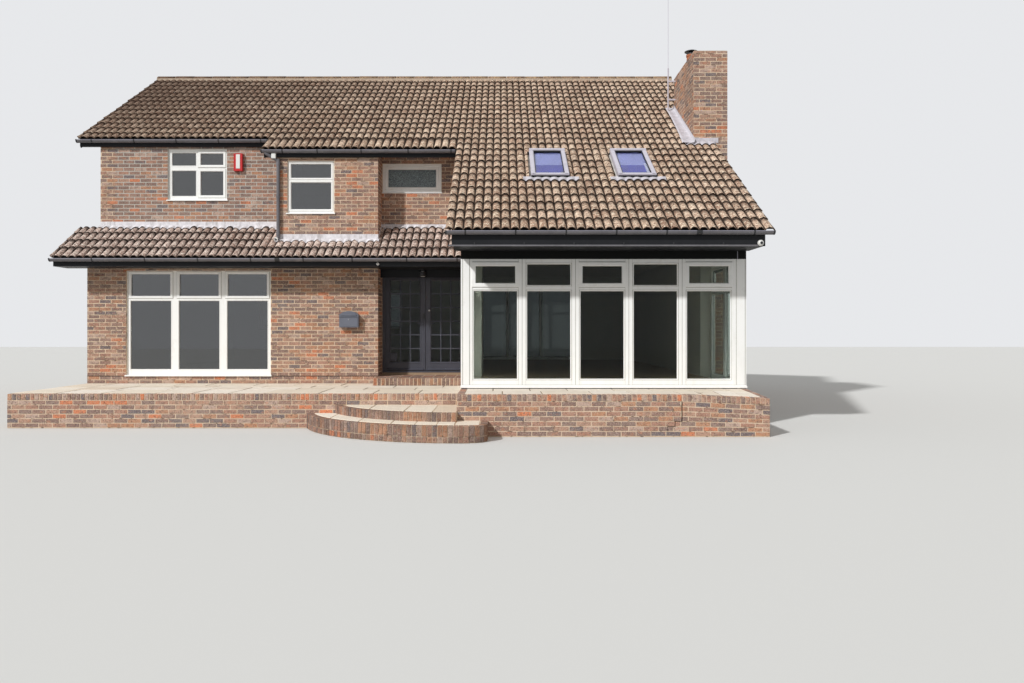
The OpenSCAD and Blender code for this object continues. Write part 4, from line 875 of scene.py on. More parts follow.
# ---------------------------------------------------------------- roof tiles
ROLL, GAUGE = 0.14629, 0.3415
PROFILE = [(0.0, 0.0), (0.05, 0.011), (0.12, 0.024), (0.22, 0.034), (0.36, 0.04), (0.5, 0.04), (0.64, 0.035),
           (0.76, 0.024), (0.84, 0.011), (0.89, 0.0), (1.0, 0.0)]
TILE_EDGE, TILE_DROP, EAVE_DROP = 0.02, 0.016, 0.02
BASE_N = -0.052             # underside of the tiles, measured out of the slope
LEAD_N = BASE_N + TILE_EDGE + 0.006 + 0.006
LONG_OUT, LEAN_OUT = 0.05, 0.045
TINY = 1e-6


class Roof(Shape):
    """Pieces on one slope: u along X, s down the slope from the apex line, n out of the slope."""

    def __init__(self, apex_y=0, apex_z=APEX_Z, pitch=PITCH, side=-1):
        super().__init__()
        self.place((0, apex_y, apex_z), (1, 0, 0), (0, side*math.cos(pitch), -math.sin(pitch)),
                   (0, side*math.sin(pitch), math.cos(pitch)))

    def tile(self, u0, cols, s_front, s_back, tone, rnd, holes, eave, cut):
        """One tile: cols rolls from u0, from its front edge up to its back edge, cut to a range of u."""
        length = s_front - s_back
        lift = rnd.uniform(-0.003, 0.005)
        hi, lo = BASE_N + TILE_EDGE + lift, BASE_N + lift
        hit = [h for h in holes if h[0] < u0 + cols*ROLL and h[1] > u0 and h[2] < s_front and h[3] > s_back]
        pts = [(u0 + (c + f)*ROLL, h) for c in range(cols) for f, h in PROFILE[1 if c else 0:]]
        if cut:
            pts = [p for p in pts if cut[0] - TINY <= p[0] <= cut[1] + TINY]
            if len(pts) < 2:
                return

        def level(sv):
            return lo + (hi - lo)*(sv - s_back)/length

        if hit:
            self.cut_tile(pts, s_front, s_back, level, hit, tone)
            return
        n, bend = len(pts), s_front - 0.35*length
        v, w = [], []
        for r, (sv, nn) in enumerate(((s_front, hi), (bend, level(bend) - 0.004), (s_back, lo))):
            for u, h in pts:
                jag = rnd.uniform(-0.007, 0.005) if r == 0 else 0
                v.append((u, sv + jag, nn + h))
                # Painted shade: none on the crown, more down the flanks and towards the back under the next
                # course, full in the valley
                w.append((0.0, 0.12, 1.0)[r] if h > 0.02 else (0.35, 0.5, 1.0)[r] if h > 0.005 else 1.0)
        self.add(v, [(r*n + i, r*n + i + 1, (r + 1)*n + i + 1, (r + 1)*n + i)
                     for r in range(2) for i in range(n - 1)], tone, w)
        drop = EAVE_DROP if eave else TILE_DROP
        edge = [(i + 1, i, n + i, n + i + 1) for i in range(n - 1)]
        # The tile's front face, in painted shade that grows to its foot
        self.add(v[:n] + [(u, sv, nn - drop) for u, sv, nn in v[:n]], edge, tone, [0.55]*n + [1.0]*n)
        if eave:
            # The eave tile's underside, in full painted shade
            low = [(u, sv, hi + h - drop) for sv in (s_front, s_front - 0.12) for u, h in pts]
            self.add(low, edge, tone, [1.0]*2*n)

    def cut_tile(self, pts, s_front, s_back, level, hit, tone):
        """What the holes leave of a tile."""
        for (ua, ha), (ub, hb) in zip(pts, pts[1:]):
            spans = [(s_back, s_front)]
            for h in hit:
                if h[0] < (ua + ub)/2 < h[1]:
                    spans = [q for a, b in spans for q in ((a, min(b, h[2])), (max(a, h[3]), b))
                             if q[1] - q[0] > 0.01]
            for a, b in spans:
                v = [(u, q, level(q) + h) for u, q, h in ((ua, b, ha), (ub, b, hb), (ub, a, hb), (ua, a, ha))]
                # Painted shade on the flanks and valleys of what is left, and on its front face
                self.add(v, [(0, 1, 2, 3)], tone, [0.0 if h > 0.008 else 1.0 for h in (ha, hb, hb, ha)])
                self.add(v[:2] + [(u, b, level(b) + h - TILE_DROP) for u, h in ((ub, hb), (ua, ha))],
                         [(1, 0, 3, 2)], tone, [0.55, 0.55, 1, 1])


def roof_field(name, roof, regions, lattice, holes, rnd, replaces, out=0.022, look="tile"):
    """regions: (u0, u1, eave distance); lattice: distance of a course front that all share."""
    for u0, u1, s_eave in regions:
        fronts = [lattice - k*GAUGE for k in range(math.ceil(lattice/GAUGE) + 1) if lattice - k*GAUGE > 0.03]
        fronts = [f for f in fronts if f < s_eave + 0.12]
        fronts[0] = s_eave + (LONG_OUT if u1 - u0 < 6 and s_eave > 9 else out)
        j0 = math.floor((u0 - VERGE_RIGHT)/ROLL + 1e-4)
        j1 = math.ceil((u1 - VERGE_RIGHT)/ROLL - 1e-4)
        for r, f in enumerate(fronts):
            back = max(fronts[r + 1] - 0.03 if r + 1 < len(fronts) else 0.0, 0.0)
            j = j0
            while j < j1:
                cols = 2 if (j - j0 + (r + j0) % 2) % 2 == 0 and j + 1 < j1 else 1
                start = VERGE_RIGHT + j*ROLL
                cut = (u0, u1) if start < u0 or start + cols*ROLL > u1 + TINY else None
                tone = rnd.random()
                roof.tile(start, cols, f + (rnd.uniform(-0.004, 0.004) if r else 0), back, tone, rnd, holes,
                          r == 0, cut)
                j += cols
    make(roof, name, look, smooth=True, replaces=replaces)


def underlay(name, side, regions, holes, verges):
    """Dark sheet right under the tiles, and mortar beds along the verges (place, from, to)."""
    s = Roof(side=side)
    for u0, u1, s0, s1 in regions:
        for a, b, c, d in minus((u0 + 0.012, u1 - 0.012, s0, s1 - 0.03), holes):
            s.box((a, c, -0.066), (b, d, BASE_N - 0.003))
    make(s, name, "felt")
    s = Roof(side=side)
    for u, s0, s1 in verges:
        inwards = -1 if u == VERGE_RIGHT else 1
        a, b = sorted((u + inwards*0.004, u + inwards*0.05))
        s.box((a, s0, -0.064), (b, s1 - 0.03, BASE_N + 0.006))
    make(s, name + "_verge_mortar", "fill")


def s_of(y):
    """Distance down the main roof's slope of a place along Y."""
    return abs(y)/COS


def roll_h(u):
    """Height of the tile profile at a place along the roof."""
    f = ((u - VERGE_RIGHT)/ROLL) % 1.0
    for (f0, h0), (f1, h1) in zip(PROFILE, PROFILE[1:]):
        if f0 <= f <= f1:
            return h0 + (h1 - h0)*(f - f0)/(f1 - f0)
    return 0.0


def dressed_lead(s, u0, u1, s_top, s_low, rnd, wave=0.02):
    """Lead sheet dressed over the rolls, its lower edge cut unevenly; s_top and s_low by place along it."""
    n, rows = max(2, int((u1 - u0)/0.018)), 4
    grid = []
    drift = rnd.uniform(-wave, wave)
    for i in range(n + 1):
        u = u0 + (u1 - u0)*i/n
        if i % 8 == 0:
            drift = rnd.uniform(-wave, wave)
        top, low = s_top(u), s_low(u) + drift*0.5 + rnd.uniform(-0.002, 0.002)
        for r in range(rows + 1):
            frac = min(1.0, r/1.5)
            grid.append((u, top + (low - top)*r/rows,
                         LEAD_N + (roll_h(u)*frac + 0.03*(1 - frac))*0.9 + rnd.uniform(-0.001, 0.001)))
    s.add(grid, [(a + 1, a + rows + 2, a + rows + 1, a)
                 for i in range(n) for a in range(i*(rows + 1), i*(rows + 1) + rows)], rnd.random())
    edge = [q for u, sv, nn in grid[rows::rows + 1] for q in ((u, sv, nn), (u, sv - 0.002, nn - 0.007))]
    s.add(edge, [(2*i, 2*i + 1, 2*i + 3, 2*i + 2) for i in range(n)])


rnd = random.Random(5)
LIGHT_S = s_of(LIGHT_Y)
LIGHT_END = LIGHT_S + LIGHT_L
s_left, s_mid, s_long, s_rear = s_of(EAVE_LEFT), s_of(EAVE_MID), s_of(EAVE_LONG), s_of(EAVE_REAR)
stack_s0, stack_s1 = s_of(STACK_Y1), s_of(STACK_Y0)
holes = [(x - LIGHT_W/2 - 0.03, x + LIGHT_W/2 + 0.03, LIGHT_S - 0.02, LIGHT_END + 0.06) for x in LIGHT_X]
holes.append((STACK_X0 - 0.005, STACK_X1, stack_s0 - 0.01, stack_s1 + 0.005))
roof_field("front_roof_tiles", Roof(),
           [(VERGE_LEFT, VERGE_MID, s_left), (VERGE_MID, VERGE_LONG, s_mid),
            (VERGE_LONG, VERGE_RIGHT, s_long)], s_long, holes, rnd, ["front_tiles"])
underlay("front_underlay", -1,
         [(VERGE_LEFT, VERGE_MID + 0.03, 0.0, s_left), (VERGE_MID, VERGE_LONG + 0.03, 0.0, s_mid),
          (VERGE_LONG, VERGE_RIGHT, 0.0, s_long)], holes,
         [(VERGE_LEFT, 0.0, s_left), (VERGE_MID, s_left, s_mid), (VERGE_LONG, s_mid, s_long),
          (VERGE_RIGHT, 0.0, stack_s0), (VERGE_RIGHT, stack_s1, s_long)])
underlay("rear_underlay", 1, [(VERGE_LEFT, VERGE_RIGHT, 0.0, s_rear)], [],
         [(VERGE_LEFT, 0.0, s_rear), (VERGE_RIGHT, 0.0, s_rear)])
roof_field("rear_roof_tiles", Roof(side=1), [(VERGE_LEFT, VERGE_RIGHT, s_rear)], s_rear, [], rnd,
           ["rear_tiles"])
LEAN = (Y_FRONT, lean_z(Y_FRONT), LEAN_PITCH)
lean_s, bay_s = (Y_FRONT - LEAN_EAVE)/LCOS, (Y_FRONT - Y_BAY)/LCOS
roof_field("lean_to_tiles", Roof(*LEAN), [(VERGE_LEFT, X_LOUNGE, lean_s)], lean_s,
           [(X_BAY - 0.002, X_PORCH + 0.002, -0.1, bay_s)], rnd, ["lean_to_roof"], LEAN_OUT, "lean_tile")
s = Roof(*LEAN)
for u0, u1, s0, s1, n0 in ((VERGE_LEFT + 0.01, X_LOUNGE - 0.001, bay_s + 0.002, lean_s - 0.03, -0.072),
                           (VERGE_LEFT + 0.01, X_LOUNGE - 0.001, bay_s + 0.002, lean_s - 0.1, -0.134),
                           (VERGE_LEFT + 0.01, X_BAY - 0.001, 0.0, bay_s + 0.002, -0.134),
                           (X_PORCH + 0.001, X_LOUNGE - 0.001, 0.0, bay_s + 0.002, -0.134)):
    s.box((u0, s0, n0), (u1, s1, BASE_N - 0.004))
make(s, "lean_to_boarding", "felt")
s = Roof(*LEAN)
s.box((VERGE_LEFT + 0.004, 0.0, -0.07), (VERGE_LEFT + 0.05, lean_s - 0.03, BASE_N + 0.006))
make(s, "lean_to_verge_mortar", "fill")

# Ridge: half-round tiles bedded in mortar
RIDGE_R, RIDGE_L, RIDGE_Z = 0.125, 0.45, APEX_Z - 0.098
ARC = [math.radians(-8 + 196*i/14) for i in range(15)]
rnd = random.Random(31)
s, bed = Shape(), Shape()
m = len(ARC)
for x0, x1 in pieces_of(VERGE_LEFT, VERGE_RIGHT, RIDGE_L, 0.006):
    dz, dy = rnd.uniform(-0.003, 0.003), rnd.uniform(-0.003, 0.003)
    v = [(x, dy + r*math.cos(a), RIDGE_Z + dz + r*math.sin(a))
         for x, r in ((x0, RIDGE_R - 0.012), (x0, RIDGE_R), (x1, RIDGE_R), (x1, RIDGE_R - 0.012))
         for a in ARC]
    # Painted shade on the half-rounds' lower flanks, none on their tops
    s.add(v, [(a, a + 1, a + m + 1, a + m) for q in range(3) for a in range(q*m, q*m + m - 1)],
          rnd.random(), [0.0 if 0.35 < math.sin(a) else 0.5 for a in ARC]*4)
    bed.tube([(x0 - 0.008, dy, RIDGE_Z), (x0 + 0.003, dy, RIDGE_Z)], RIDGE_R - 0.004, 24)
for y0, y1 in ((-0.135, -0.1), (0.1, 0.135)):
    bed.box((VERGE_LEFT + 0.01, y0, roof_z(0.12) - 0.05), (VERGE_RIGHT - 0.01, y1, roof_z(0.12) + 0.012))
for x0, x1 in ((VERGE_LEFT + 0.012, VERGE_LEFT + 0.03), (VERGE_RIGHT - 0.03, VERGE_RIGHT - 0.012)):
    bed.tube([(x0, 0, RIDGE_Z), (x1, 0, RIDGE_Z)], RIDGE_R - 0.006, 24)
make(s, "ridge_half_rounds", "ridge", smooth=True, replaces=["ridge_tiles"])
make(bed, "ridge_mortar", "fill")

# ---------------------------------------------------------------- lead
rnd = random.Random(14)
s = Roof()
for x in LIGHT_X:
    dressed_lead(s, x - LIGHT_W/2 - 0.15, x + LIGHT_W/2 + 0.17, lambda u: LIGHT_END - 0.01,
                 lambda u: LIGHT_END + 0.135, rnd, wave=0.03)
# The gutter beside the stack, as rows of points across it: (u, height)
n = 24
v = []
for i in range(n + 1):
    t = i/n
    sv = stack_s0 - 0.09 + (stack_s1 + 0.13 - stack_s0 + 0.09)*t
    left = 5.672 - 0.075*t*t
    for u, h in ((left, 0.046), (left + 0.02, 0.066), (left + 0.045, 0.05), (STACK_X0 - 0.05, 0.05),
                 (STACK_X0 - 0.012, 0.06), (STACK_X0 - 0.008, 0.13)):
        v.append((u + rnd.uniform(-0.003, 0.003)*(u < 5.75), sv,
                  BASE_N + TILE_EDGE + h + rnd.uniform(-0.0015, 0.0015)))
s.add(v, [(a + 1, a + 7, a + 6, a) for i in range(n) for a in range(6*i, 6*i + 5)], 0.4)
dressed_lead(s, STACK_X0 - 0.2, VERGE_RIGHT - 0.02, lambda u: stack_s1 + 0.004,
             lambda u: stack_s1 + 0.16, rnd)
make(s, "roof_lead", "lead", smooth=True, replaces=["lead_flashings"])

s = Roof(*LEAN)
for u0, u1, s0 in ((X_LEFT - 0.02, X_BAY + 0.01, 0.0), (X_BAY - 0.03, X_PORCH + 0.03, bay_s),
                   (X_PORCH - 0.01, X_LOUNGE, 0.0)):
    dressed_lead(s, u0, u1, lambda u: s0 + 0.005, lambda u: s0 + 0.1 + 0.03*math.sin(17*u), rnd, wave=0.06)
make(s, "lean_to_lead", "pale_lead", smooth=True)


def upstand(s, u0, u1, z0, height, rnd):
    """Lead turned up a wall in lapped pieces, its top tucked into a brick joint."""
    u, k = u0, 0
    while u < u1 - 0.05:
        e = min(u + 1.4, u1)
        d = 0.006 + 0.002*(k % 2)
        n = max(2, int((e - u)/0.12))
        v = []
        for i in range(n + 1):
            x = u + ((e + 0.04 if e < u1 else e) - u)*i/n
            w = rnd.uniform(0, 0.0025)
            v += [(x, d + w, z0), (x, d + w, z0 + height*0.5), (x, d - 0.001, z0 + height),
                  (x, 0.0, z0 + height + 0.001)]
        s.add(v, [(a, a + 4, a + 5, a + 1) for i in range(n) for a in range(4*i, 4*i + 3)], rnd.random())
        u, k = e, k + 1


def stepped(s, y0, y1, size, slope, low, high):
    """Lead in steps up a wall beside a slope, whose height slope gives."""
    y = y0
    while y < y1 - 0.01:
        e = min(y + size, y1)
        s.box((y, -0.001, slope(y) - low), (e, 0.0065, slope(y) + high))
        y = e


s = on_front(Y_BAY)
upstand(s, X_BAY - 0.004, X_PORCH + 0.004, lean_z(Y_BAY) - 0.01, 0.105, rnd)
s.on(FRONT, Y_FRONT)
upstand(s, X_LEFT, X_BAY, lean_z(Y_FRONT) - 0.01, 0.09, rnd)
upstand(s, X_PORCH, X_LOUNGE, lean_z(Y_FRONT) - 0.01, 0.035, rnd)
for x, axes in ((X_BAY, LEFT), (X_PORCH, RIGHT)):
    stepped(s.on(axes, x), Y_BAY, Y_FRONT, 0.14, lean_z, 0.01, 0.1)
make(s, "lean_to_wall_lead", "pale_lead")

s = Shape().on(LEFT, STACK_X0)
stepped(s, STACK_Y0, STACK_Y1, 0.13, roof_z, 0.02, 0.06)
s.on(FRONT, STACK_Y0)
upstand(s, STACK_X0 - 0.006, STACK_X1 - 0.18, roof_z(STACK_Y0) - 0.03, 0.1, rnd)
make(s, "stack_wall_lead", "lead")

# ---------------------------------------------------------------- chimney top
s = Shape()
v = [(x, y, STACK_Z + z) for gap, z in ((0.0, 0.001), (0.012, 0.012), (0.13, 0.05), (0.22, 0.062))
     for x, y in corners(STACK_X0, STACK_X1, STACK_Y0, STACK_Y1, gap)]
f = [(4*k + i, 4*k + (i + 1) % 4, 4*k + 4 + (i + 1) % 4, 4*k + 4 + i) for k in range(3) for i in range(4)]
s.add(v, f + [(12, 13, 14, 15)])
make(s, "chimney_flaunching", "fill")


# ---------------------------------------------------------------- rooflights
def rooflight(x, name):
    """Covers, dark glazing seals, blind and shade of one roof window, and the right one's white jamb."""
    u0, u1, a, b = x - LIGHT_W/2, x + LIGHT_W/2, LIGHT_S, LIGHT_END
    f, g, up = LIGHT_F, LIGHT_F - 0.012, 0.045
    s = Roof()
    for q0, q1 in ((u0 - 0.004, u0 + f - 0.012), (u1 - f + 0.012, u1 + 0.004)):
        s.box((q0, a, 0.0), (q1, b - 0.01, up + 0.012))
        s.box((q0 + 0.012, a + 0.01, up + 0.012), (q1 - 0.012, b - 0.03, up + 0.02))
    s.box((u0 - 0.006, a - 0.012, 0.0), (u1 + 0.006, a + f - 0.01, up + 0.03))
    s.box((u0 + 0.02, b - f + 0.01, up), (u1 - 0.02, b - 0.004, up + 0.012))
    make(s, "rooflight_cover_" + name, "grey")
    s = Roof()
    s.box((u0 + g, a + f - 0.01, up - 0.03), (u1 - g, a + f + 0.02, up + 0.008))
    s.box((u0 + g, b - f - 0.012, up - 0.03), (u1 - g, b - f + 0.01, up + 0.006))
    for q0, q1 in ((u0 + g, u0 + g + 0.014), (u1 - g - 0.014, u1 - g)):
        s.box((q0, a + f, up - 0.03), (q1, b - f, up + 0.006))
    s.box((u0 - 0.002, b - 0.006, -0.03), (u1 + 0.002, b + 0.012, up - 0.012))
    make(s, "rooflight_seal_" + name, "dark")
    mid = a + f + (LIGHT_L - 2*f)*0.56
    jamb = name == "right"
    s = Roof()
    s.box((u0 + f, a + f, -0.012), (u1 - f, mid, -0.006))
    make(s, "rooflight_blind_" + name, "blind")
    s = Roof()
    s.box((u0 + f, mid, -0.014), (u1 - f - (0.04 if jamb else 0.0), b - f, -0.01))
    make(s, "rooflight_shade_" + name, "night")
    if jamb:
        s = Roof()
        s.box((u1 - f - 0.045, mid - 0.06, -0.02), (u1 - f, b - f, 0.006))
        make(s, "rooflight_jamb_" + name, "white")


for x, name in zip(LIGHT_X, ("left", "right")):
    rooflight(x, name)

# ---------------------------------------------------------------- windows, with profiles as (in, out)
BEAD = [(-0.003, 0.0), (-0.003, 0.003), (0.003, 0.004), (0.014, -0.006), (0.014, -0.024)]
SASH = [(-0.024, 0.0), (-0.024, 0.011), (-0.018, 0.015), (0.016, 0.015), (0.026, 0.006), (0.026, -0.024)]
SLIM = [(-0.03, 0.0), (-0.03, 0.011), (-0.024, 0.015), (-0.004, 0.015), (0.008, 0.0), (0.008, -0.024)]
WIDE_SASH = [(-0.022, 0.0), (-0.022, 0.012), (-0.016, 0.016), (0.034, 0.016), (0.045, 0.006), (0.045, -0.024)]
DOUBLE = [(-0.058, 0.0), (-0.058, 0.022), (-0.05, 0.026), (-0.012, 0.026), (-0.004, 0.006), (0.004, 0.006),
          (0.006, 0.016), (0.046, 0.016), (0.056, 0.004), (0.056, -0.022)]
SEAM = [(-0.031, 0.0), (-0.031, 0.0022), (-0.023, 0.0022)]
BEAD_SEAM = [(-0.009, 0.0), (-0.009, 0.0022), (-0.002, 0.0022)]


def lights(rect, cols, side=0.06, mullion=0.06, bottom=0.06, head=0.06, top=0, transom=0.06, more=0.0):
    """Clear openings (u0, u1, z0, z1, row) of the frame in a wall opening, row 1 being the top lights."""
    u0, u1, z0, z1 = rect
    h = z1 - z0
    clear = (u1 - u0 - 2*side - more - (cols - 1)*mullion)/cols
    low = h - bottom - head - (top + transom if top else 0)
    out = []
    for i in range(cols):
        a = u0 + side + i*(clear + mullion)
        out.append((a, a + clear, z0 + bottom, z0 + bottom + low, 0))
        if top:
            out.append((a, a + clear, z0 + h - head - top, z0 + h - head, 1))
    return out


def sill(s, rect, over=0.02, out=0.034, thick=0.034):
    """Moulded sill with a weathered top and a drip under its nose, standing out past the wall."""
    d, z = REVEAL + out, rect[2] - 0.004
    prof = [(0.0, z + thick), (d - 0.012, z + thick - 0.012), (d, z + thick - 0.02), (d, z), (d - 0.01, z),
            (d - 0.012, z + 0.005), (d - 0.02, z + 0.005), (d - 0.022, z), (0.0, z)]
    m = len(prof)
    v = [(u, *p) for u in (rect[0] - over, rect[1] + over) for p in prof]
    f = [(m + i, m + (i + 1) % m, (i + 1) % m, i) for i in range(m)]
    s.add(v, f + [tuple(range(m)), tuple(range(2*m - 1, m - 1, -1))])


left_lights = lights(UPPER_LEFT, 2, bottom=0.09, top=0.283, transom=0.08)
small_light, = lights(SMALL, 1, bottom=0.09)
tall_lights = lights(DINING, 3, mullion=0.13, bottom=0.12, head=0.04, top=0.48)
LEFT_MIDDLE = -4.2          # the left window's lights open to the right of this place
s = on_front(Y_FRONT + REVEAL)
for q in left_lights:
    s.ring(*q[:4], BEAD if q[0] < LEFT_MIDDLE else SASH)
sill(s, UPPER_LEFT)
s.ring(*small_light[:2], small_light[2] - 0.02, small_light[3], DOUBLE)
sill(s, SMALL, 0.01, 0.012, 0.03)
s.on(FRONT, Y_BAY + REVEAL)
for q in lights(UPPER_MID, 1, bottom=0.09, top=0.283, transom=0.08):
    s.ring(*q[:4], SLIM)
sill(s, UPPER_MID)
for q in tall_lights:
    s.ring(*q[:4], SASH if q[4] else BEAD)
sill(s, DINING)
make(s, "front_sashes_and_sills", "white")

s = on_front(Y_FRONT + REVEAL)
u0, u1, z0, z1 = small_light[:4]
s.box((u0 + 0.03, -0.021, z0 + 0.01), (u1 - 0.03, -0.018, z1 - 0.03))
make(s, "obscured_pane", "obscure")

# Back and side windows
s = Shape().on(BACK, Y_REAR - REVEAL)
for rect, cols in zip(rear_holes, REAR_COLS):
    for q in lights(rect, cols):
        s.ring(*q[:4], SASH)
    if rect[2] > 1.0:
        sill(s, rect)
for x, axes in ((X_LEFT + REVEAL, LEFT), (X_RIGHT - REVEAL, RIGHT)):
    s.on(axes, x)
    s.ring(*lights(GABLE_WINDOW, 1)[0][:4], SASH)
    sill(s, GABLE_WINDOW)
make(s, "back_and_side_sashes", "white")

# Garden room: top-light sashes in every other bay, beads, cover strips on the posts, the sill
POST, POST_MORE, MULL = 0.203, 0.046, 0.142
SCREEN = dict(mullion=MULL, bottom=0.135, head=0.072, top=0.37, transom=0.075)
TOP_Z = GLAZE_Z + GLAZE_H
STRIP_Z, RAIL_Z = GLAZE_Z + 0.05, 2.29
bays = lights((X_LOUNGE, X_RIGHT, GLAZE_Z, TOP_Z), 5, POST, more=POST_MORE, **SCREEN)
opens = [q[4] and (i//2) % 2 == 0 for i, q in enumerate(bays)]
lows = [q for q in bays if not q[4]]
s = on_front(Y_GLASS)
for q, sash in zip(bays, opens):
    s.ring(*q[:4], WIDE_SASH if sash else BEAD)
strips = [(X_LOUNGE + a, X_LOUNGE + b) for a, b in ((0.0, 0.026), (0.036, 0.14), (0.152, 0.19))]
strips += [(X_RIGHT - b, X_RIGHT - a) for a, b in ((0.0, 0.012), (0.024, 0.16), (0.17, 0.235))]
for a, b in strips:
    s.box((a, -0.001, GLAZE_Z), (b, 0.007, TOP_Z), back=False)
for q, r in zip(lows, lows[1:]):
    m = (q[1] + r[0])/2
    for a, b in ((q[1] + 0.012, m - 0.004), (m + 0.004, r[0] - 0.012)):
        s.box((a, -0.001, STRIP_Z), (b, 0.006, TOP_Z), back=False)
for q in lows:
    s.box((q[0] + 0.01, -0.001, RAIL_Z), (q[1] - 0.01, 0.005, RAIL_Z + 0.016), back=False)
s.box((X_LOUNGE - 0.004, -0.001, GLAZE_Z), (X_RIGHT + 0.004, 0.012, GLAZE_Z + 0.044))
s.box((X_LOUNGE - 0.006, 0.0, GLAZE_Z - 0.002), (X_RIGHT + 0.006, 0.045, GLAZE_Z + 0.026))
for x, axes in ((X_LOUNGE + 0.03, LEFT), (X_RIGHT - 0.03, RIGHT)):
    s.on(axes, x)
    for q in lights((Y_GLASS + FRAME_D, Y_SIDE, GLAZE_Z, TOP_Z), 2, **SCREEN):
        s.ring(*q[:4], WIDE_SASH if q[4] else BEAD)
make(s, "garden_room_sashes", "white")

# The grey lines round opening lights, which are their joints, and along the strips, which are painted shade
# in the grooves beside them
s = on_front(Y_GLASS)
for q, sash in zip(bays, opens):
    s.ring(*q[:4], SEAM if sash else BEAD_SEAM)
lines = []
for q, r in zip(lows, lows[1:]):
    lines += [((q[1] + r[0])/2, 0.004), (q[1] + 0.012, 0.003), (r[0] - 0.012, 0.003)]
lines += [(u, 0.005) for u in (X_LOUNGE + 0.031, X_LOUNGE + 0.146, X_RIGHT - 0.165, X_RIGHT - 0.018)]
for u, half in lines:
    s.box((u - half, -0.001, STRIP_Z), (u + half, 0.0015, TOP_Z))
s.box((X_LOUNGE, 0.0, GLAZE_Z + 0.044), (X_RIGHT, 0.0075, STRIP_Z))
make(s, "garden_room_seams", "seam")
s = on_front(Y_FRONT + REVEAL)
for q in left_lights:
    if q[0] > LEFT_MIDDLE:
        s.ring(*q[:4], SEAM)
s.on(FRONT, Y_BAY + REVEAL)
for q in tall_lights:
    if q[4]:
        s.ring(*q[:4], SEAM)
make(s, "window_seams", "seam")

# Boards over the glazing: the trim over their joint, and the lines between them
BOARD_JOINT, BOARD_TOP, BOARD_LINES = 5.94, 3.18, (2.93, 3.06)
s = on_front(Y_GLASS)
s.box((BOARD_JOINT, -0.001, HEAD_Z), (BOARD_JOINT + 0.012, 0.006, BOARD_TOP))
make(s, "beam_joint_trim", "lip")
s = on_front(Y_GLASS)
for z in BOARD_LINES:
    s.box((X_LOUNGE + 0.002, -0.001, z - 0.003), (X_RIGHT - 0.002, 0.0025, z + 0.003))
make(s, "beam_board_lines", "black")

# ---------------------------------------------------------------- front doors
PANE_Z = (LEAF_Z + 0.17, LEAF_Z + LEAF_H - 0.13)
STILE, BAR, WEATHER_IN = 0.105, 0.012, 0.035    # stile width, half of a bar, ends of the weather board
DOOR_BEAD = [(-0.022, 0.0), (-0.022, 0.004), (-0.012, 0.007), (-0.004, 0.003), (0.008, -0.004),
             (0.008, -0.011)]
FLAP_RIM = [(0.0, -0.01), (0.0, 0.004), (0.006, 0.007), (0.022, 0.007), (0.028, -0.002), (0.028, -0.01)]
KNOB_X, KNOB_Z = 0.568, 2.018
LAMP_X, LAMP_Y = 0.47, 0.3
for side, u0, u1 in (("left", LEAF_X[0], LEAF_X[0] + LEAF_W), ("right", LEAF_X[1] - LEAF_W, LEAF_X[1])):
    s = on_front(LEAF_Y)
    a, b = u0 + STILE, u1 - STILE
    z0, z1 = PANE_Z
    for i in range(1, 3):
        m = a + (b - a)*i/3
        for d0, d1, r0, r1 in ((-0.0105, -0.001, -0.001, 0.001), (-0.043, -0.0335, -0.045, -0.043)):
            s.box((m - BAR, d0, z0), (m + BAR, d1, z1))
            s.box((m - BAR/2, r0, z0), (m + BAR/2, r1, z1))
    for i in range(1, 6):
        m = z0 + (z1 - z0)*i/6
        for d0, d1 in ((-0.0105, -0.0015), (-0.0425, -0.0335)):
            s.box((a, d0, m - BAR), (b, d1, m + BAR))
    s.ring(a, b, z0, z1, DOOR_BEAD)
    v = [(u, d, LEAF_Z + z) for d, z in ((0.0, 0.05), (0.026, 0.02), (0.026, 0.008), (0.0, 0.008))
         for u in (u0 + WEATHER_IN, u1 - WEATHER_IN)]
    s.add(v, [(0, 1, 3, 2), (2, 3, 5, 4), (4, 5, 7, 6), (0, 2, 4, 6), (1, 7, 5, 3), (0, 6, 7, 1)])
    if side == "left":      # cat flap
        s.ring(-0.243, -0.09, 0.984, 1.147, FLAP_RIM)
        s.box((-0.22, -0.0105, 1.0), (-0.11, -0.006, 1.13))
    make(s, "door_" + side + "_glazing_bars", "door", "door_" + side)

s = on_front(LEAF_Y)
for outs, radius, sides in (((0.0, 0.03), 0.01, 16),
                            ((0.028, 0.034, 0.045, 0.052), [0.012, 0.022, 0.022, 0.01], 20),
                            ((0.0, 0.004), 0.024, 20)):
    s.tube([(KNOB_X, d, KNOB_Z) for d in outs], radius, sides)
make(s, "door_right_knob", "steel", "door_right")
s = on_front(LEAF_Y)
s.pad(corners(0.435, 0.48, 1.835, 1.955), 0.0, 0.009, 0.004)
s.tube([(0.4575, 0.008, 1.915), (0.4575, 0.014, 1.915)], 0.011, 16)
make(s, "door_left_lock_plate", "black", "door_left")
s = on_front(Y_FRONT)
for d0, d1, z0, z1 in ((0.19, 0.215, 2.675, 2.822), (0.185, 0.222, 2.664, 2.678)):
    s.box((X_PORCH + 0.003, d0, z0), (X_LOUNGE - 0.003, d1, z1))
make(s, "porch_header_board", "dark")
s = on_front(Y_FRONT)
s.tube([(LAMP_X, LAMP_Y, z) for z in (2.688, 2.684, 2.678)], [0.05, 0.05, 0.03], 24)
s.tube([(LAMP_X, LAMP_Y, z) for z in (2.79, 2.72)], [0.03, 0.046], 24)
make(s, "porch_lamp_glass", "pale")


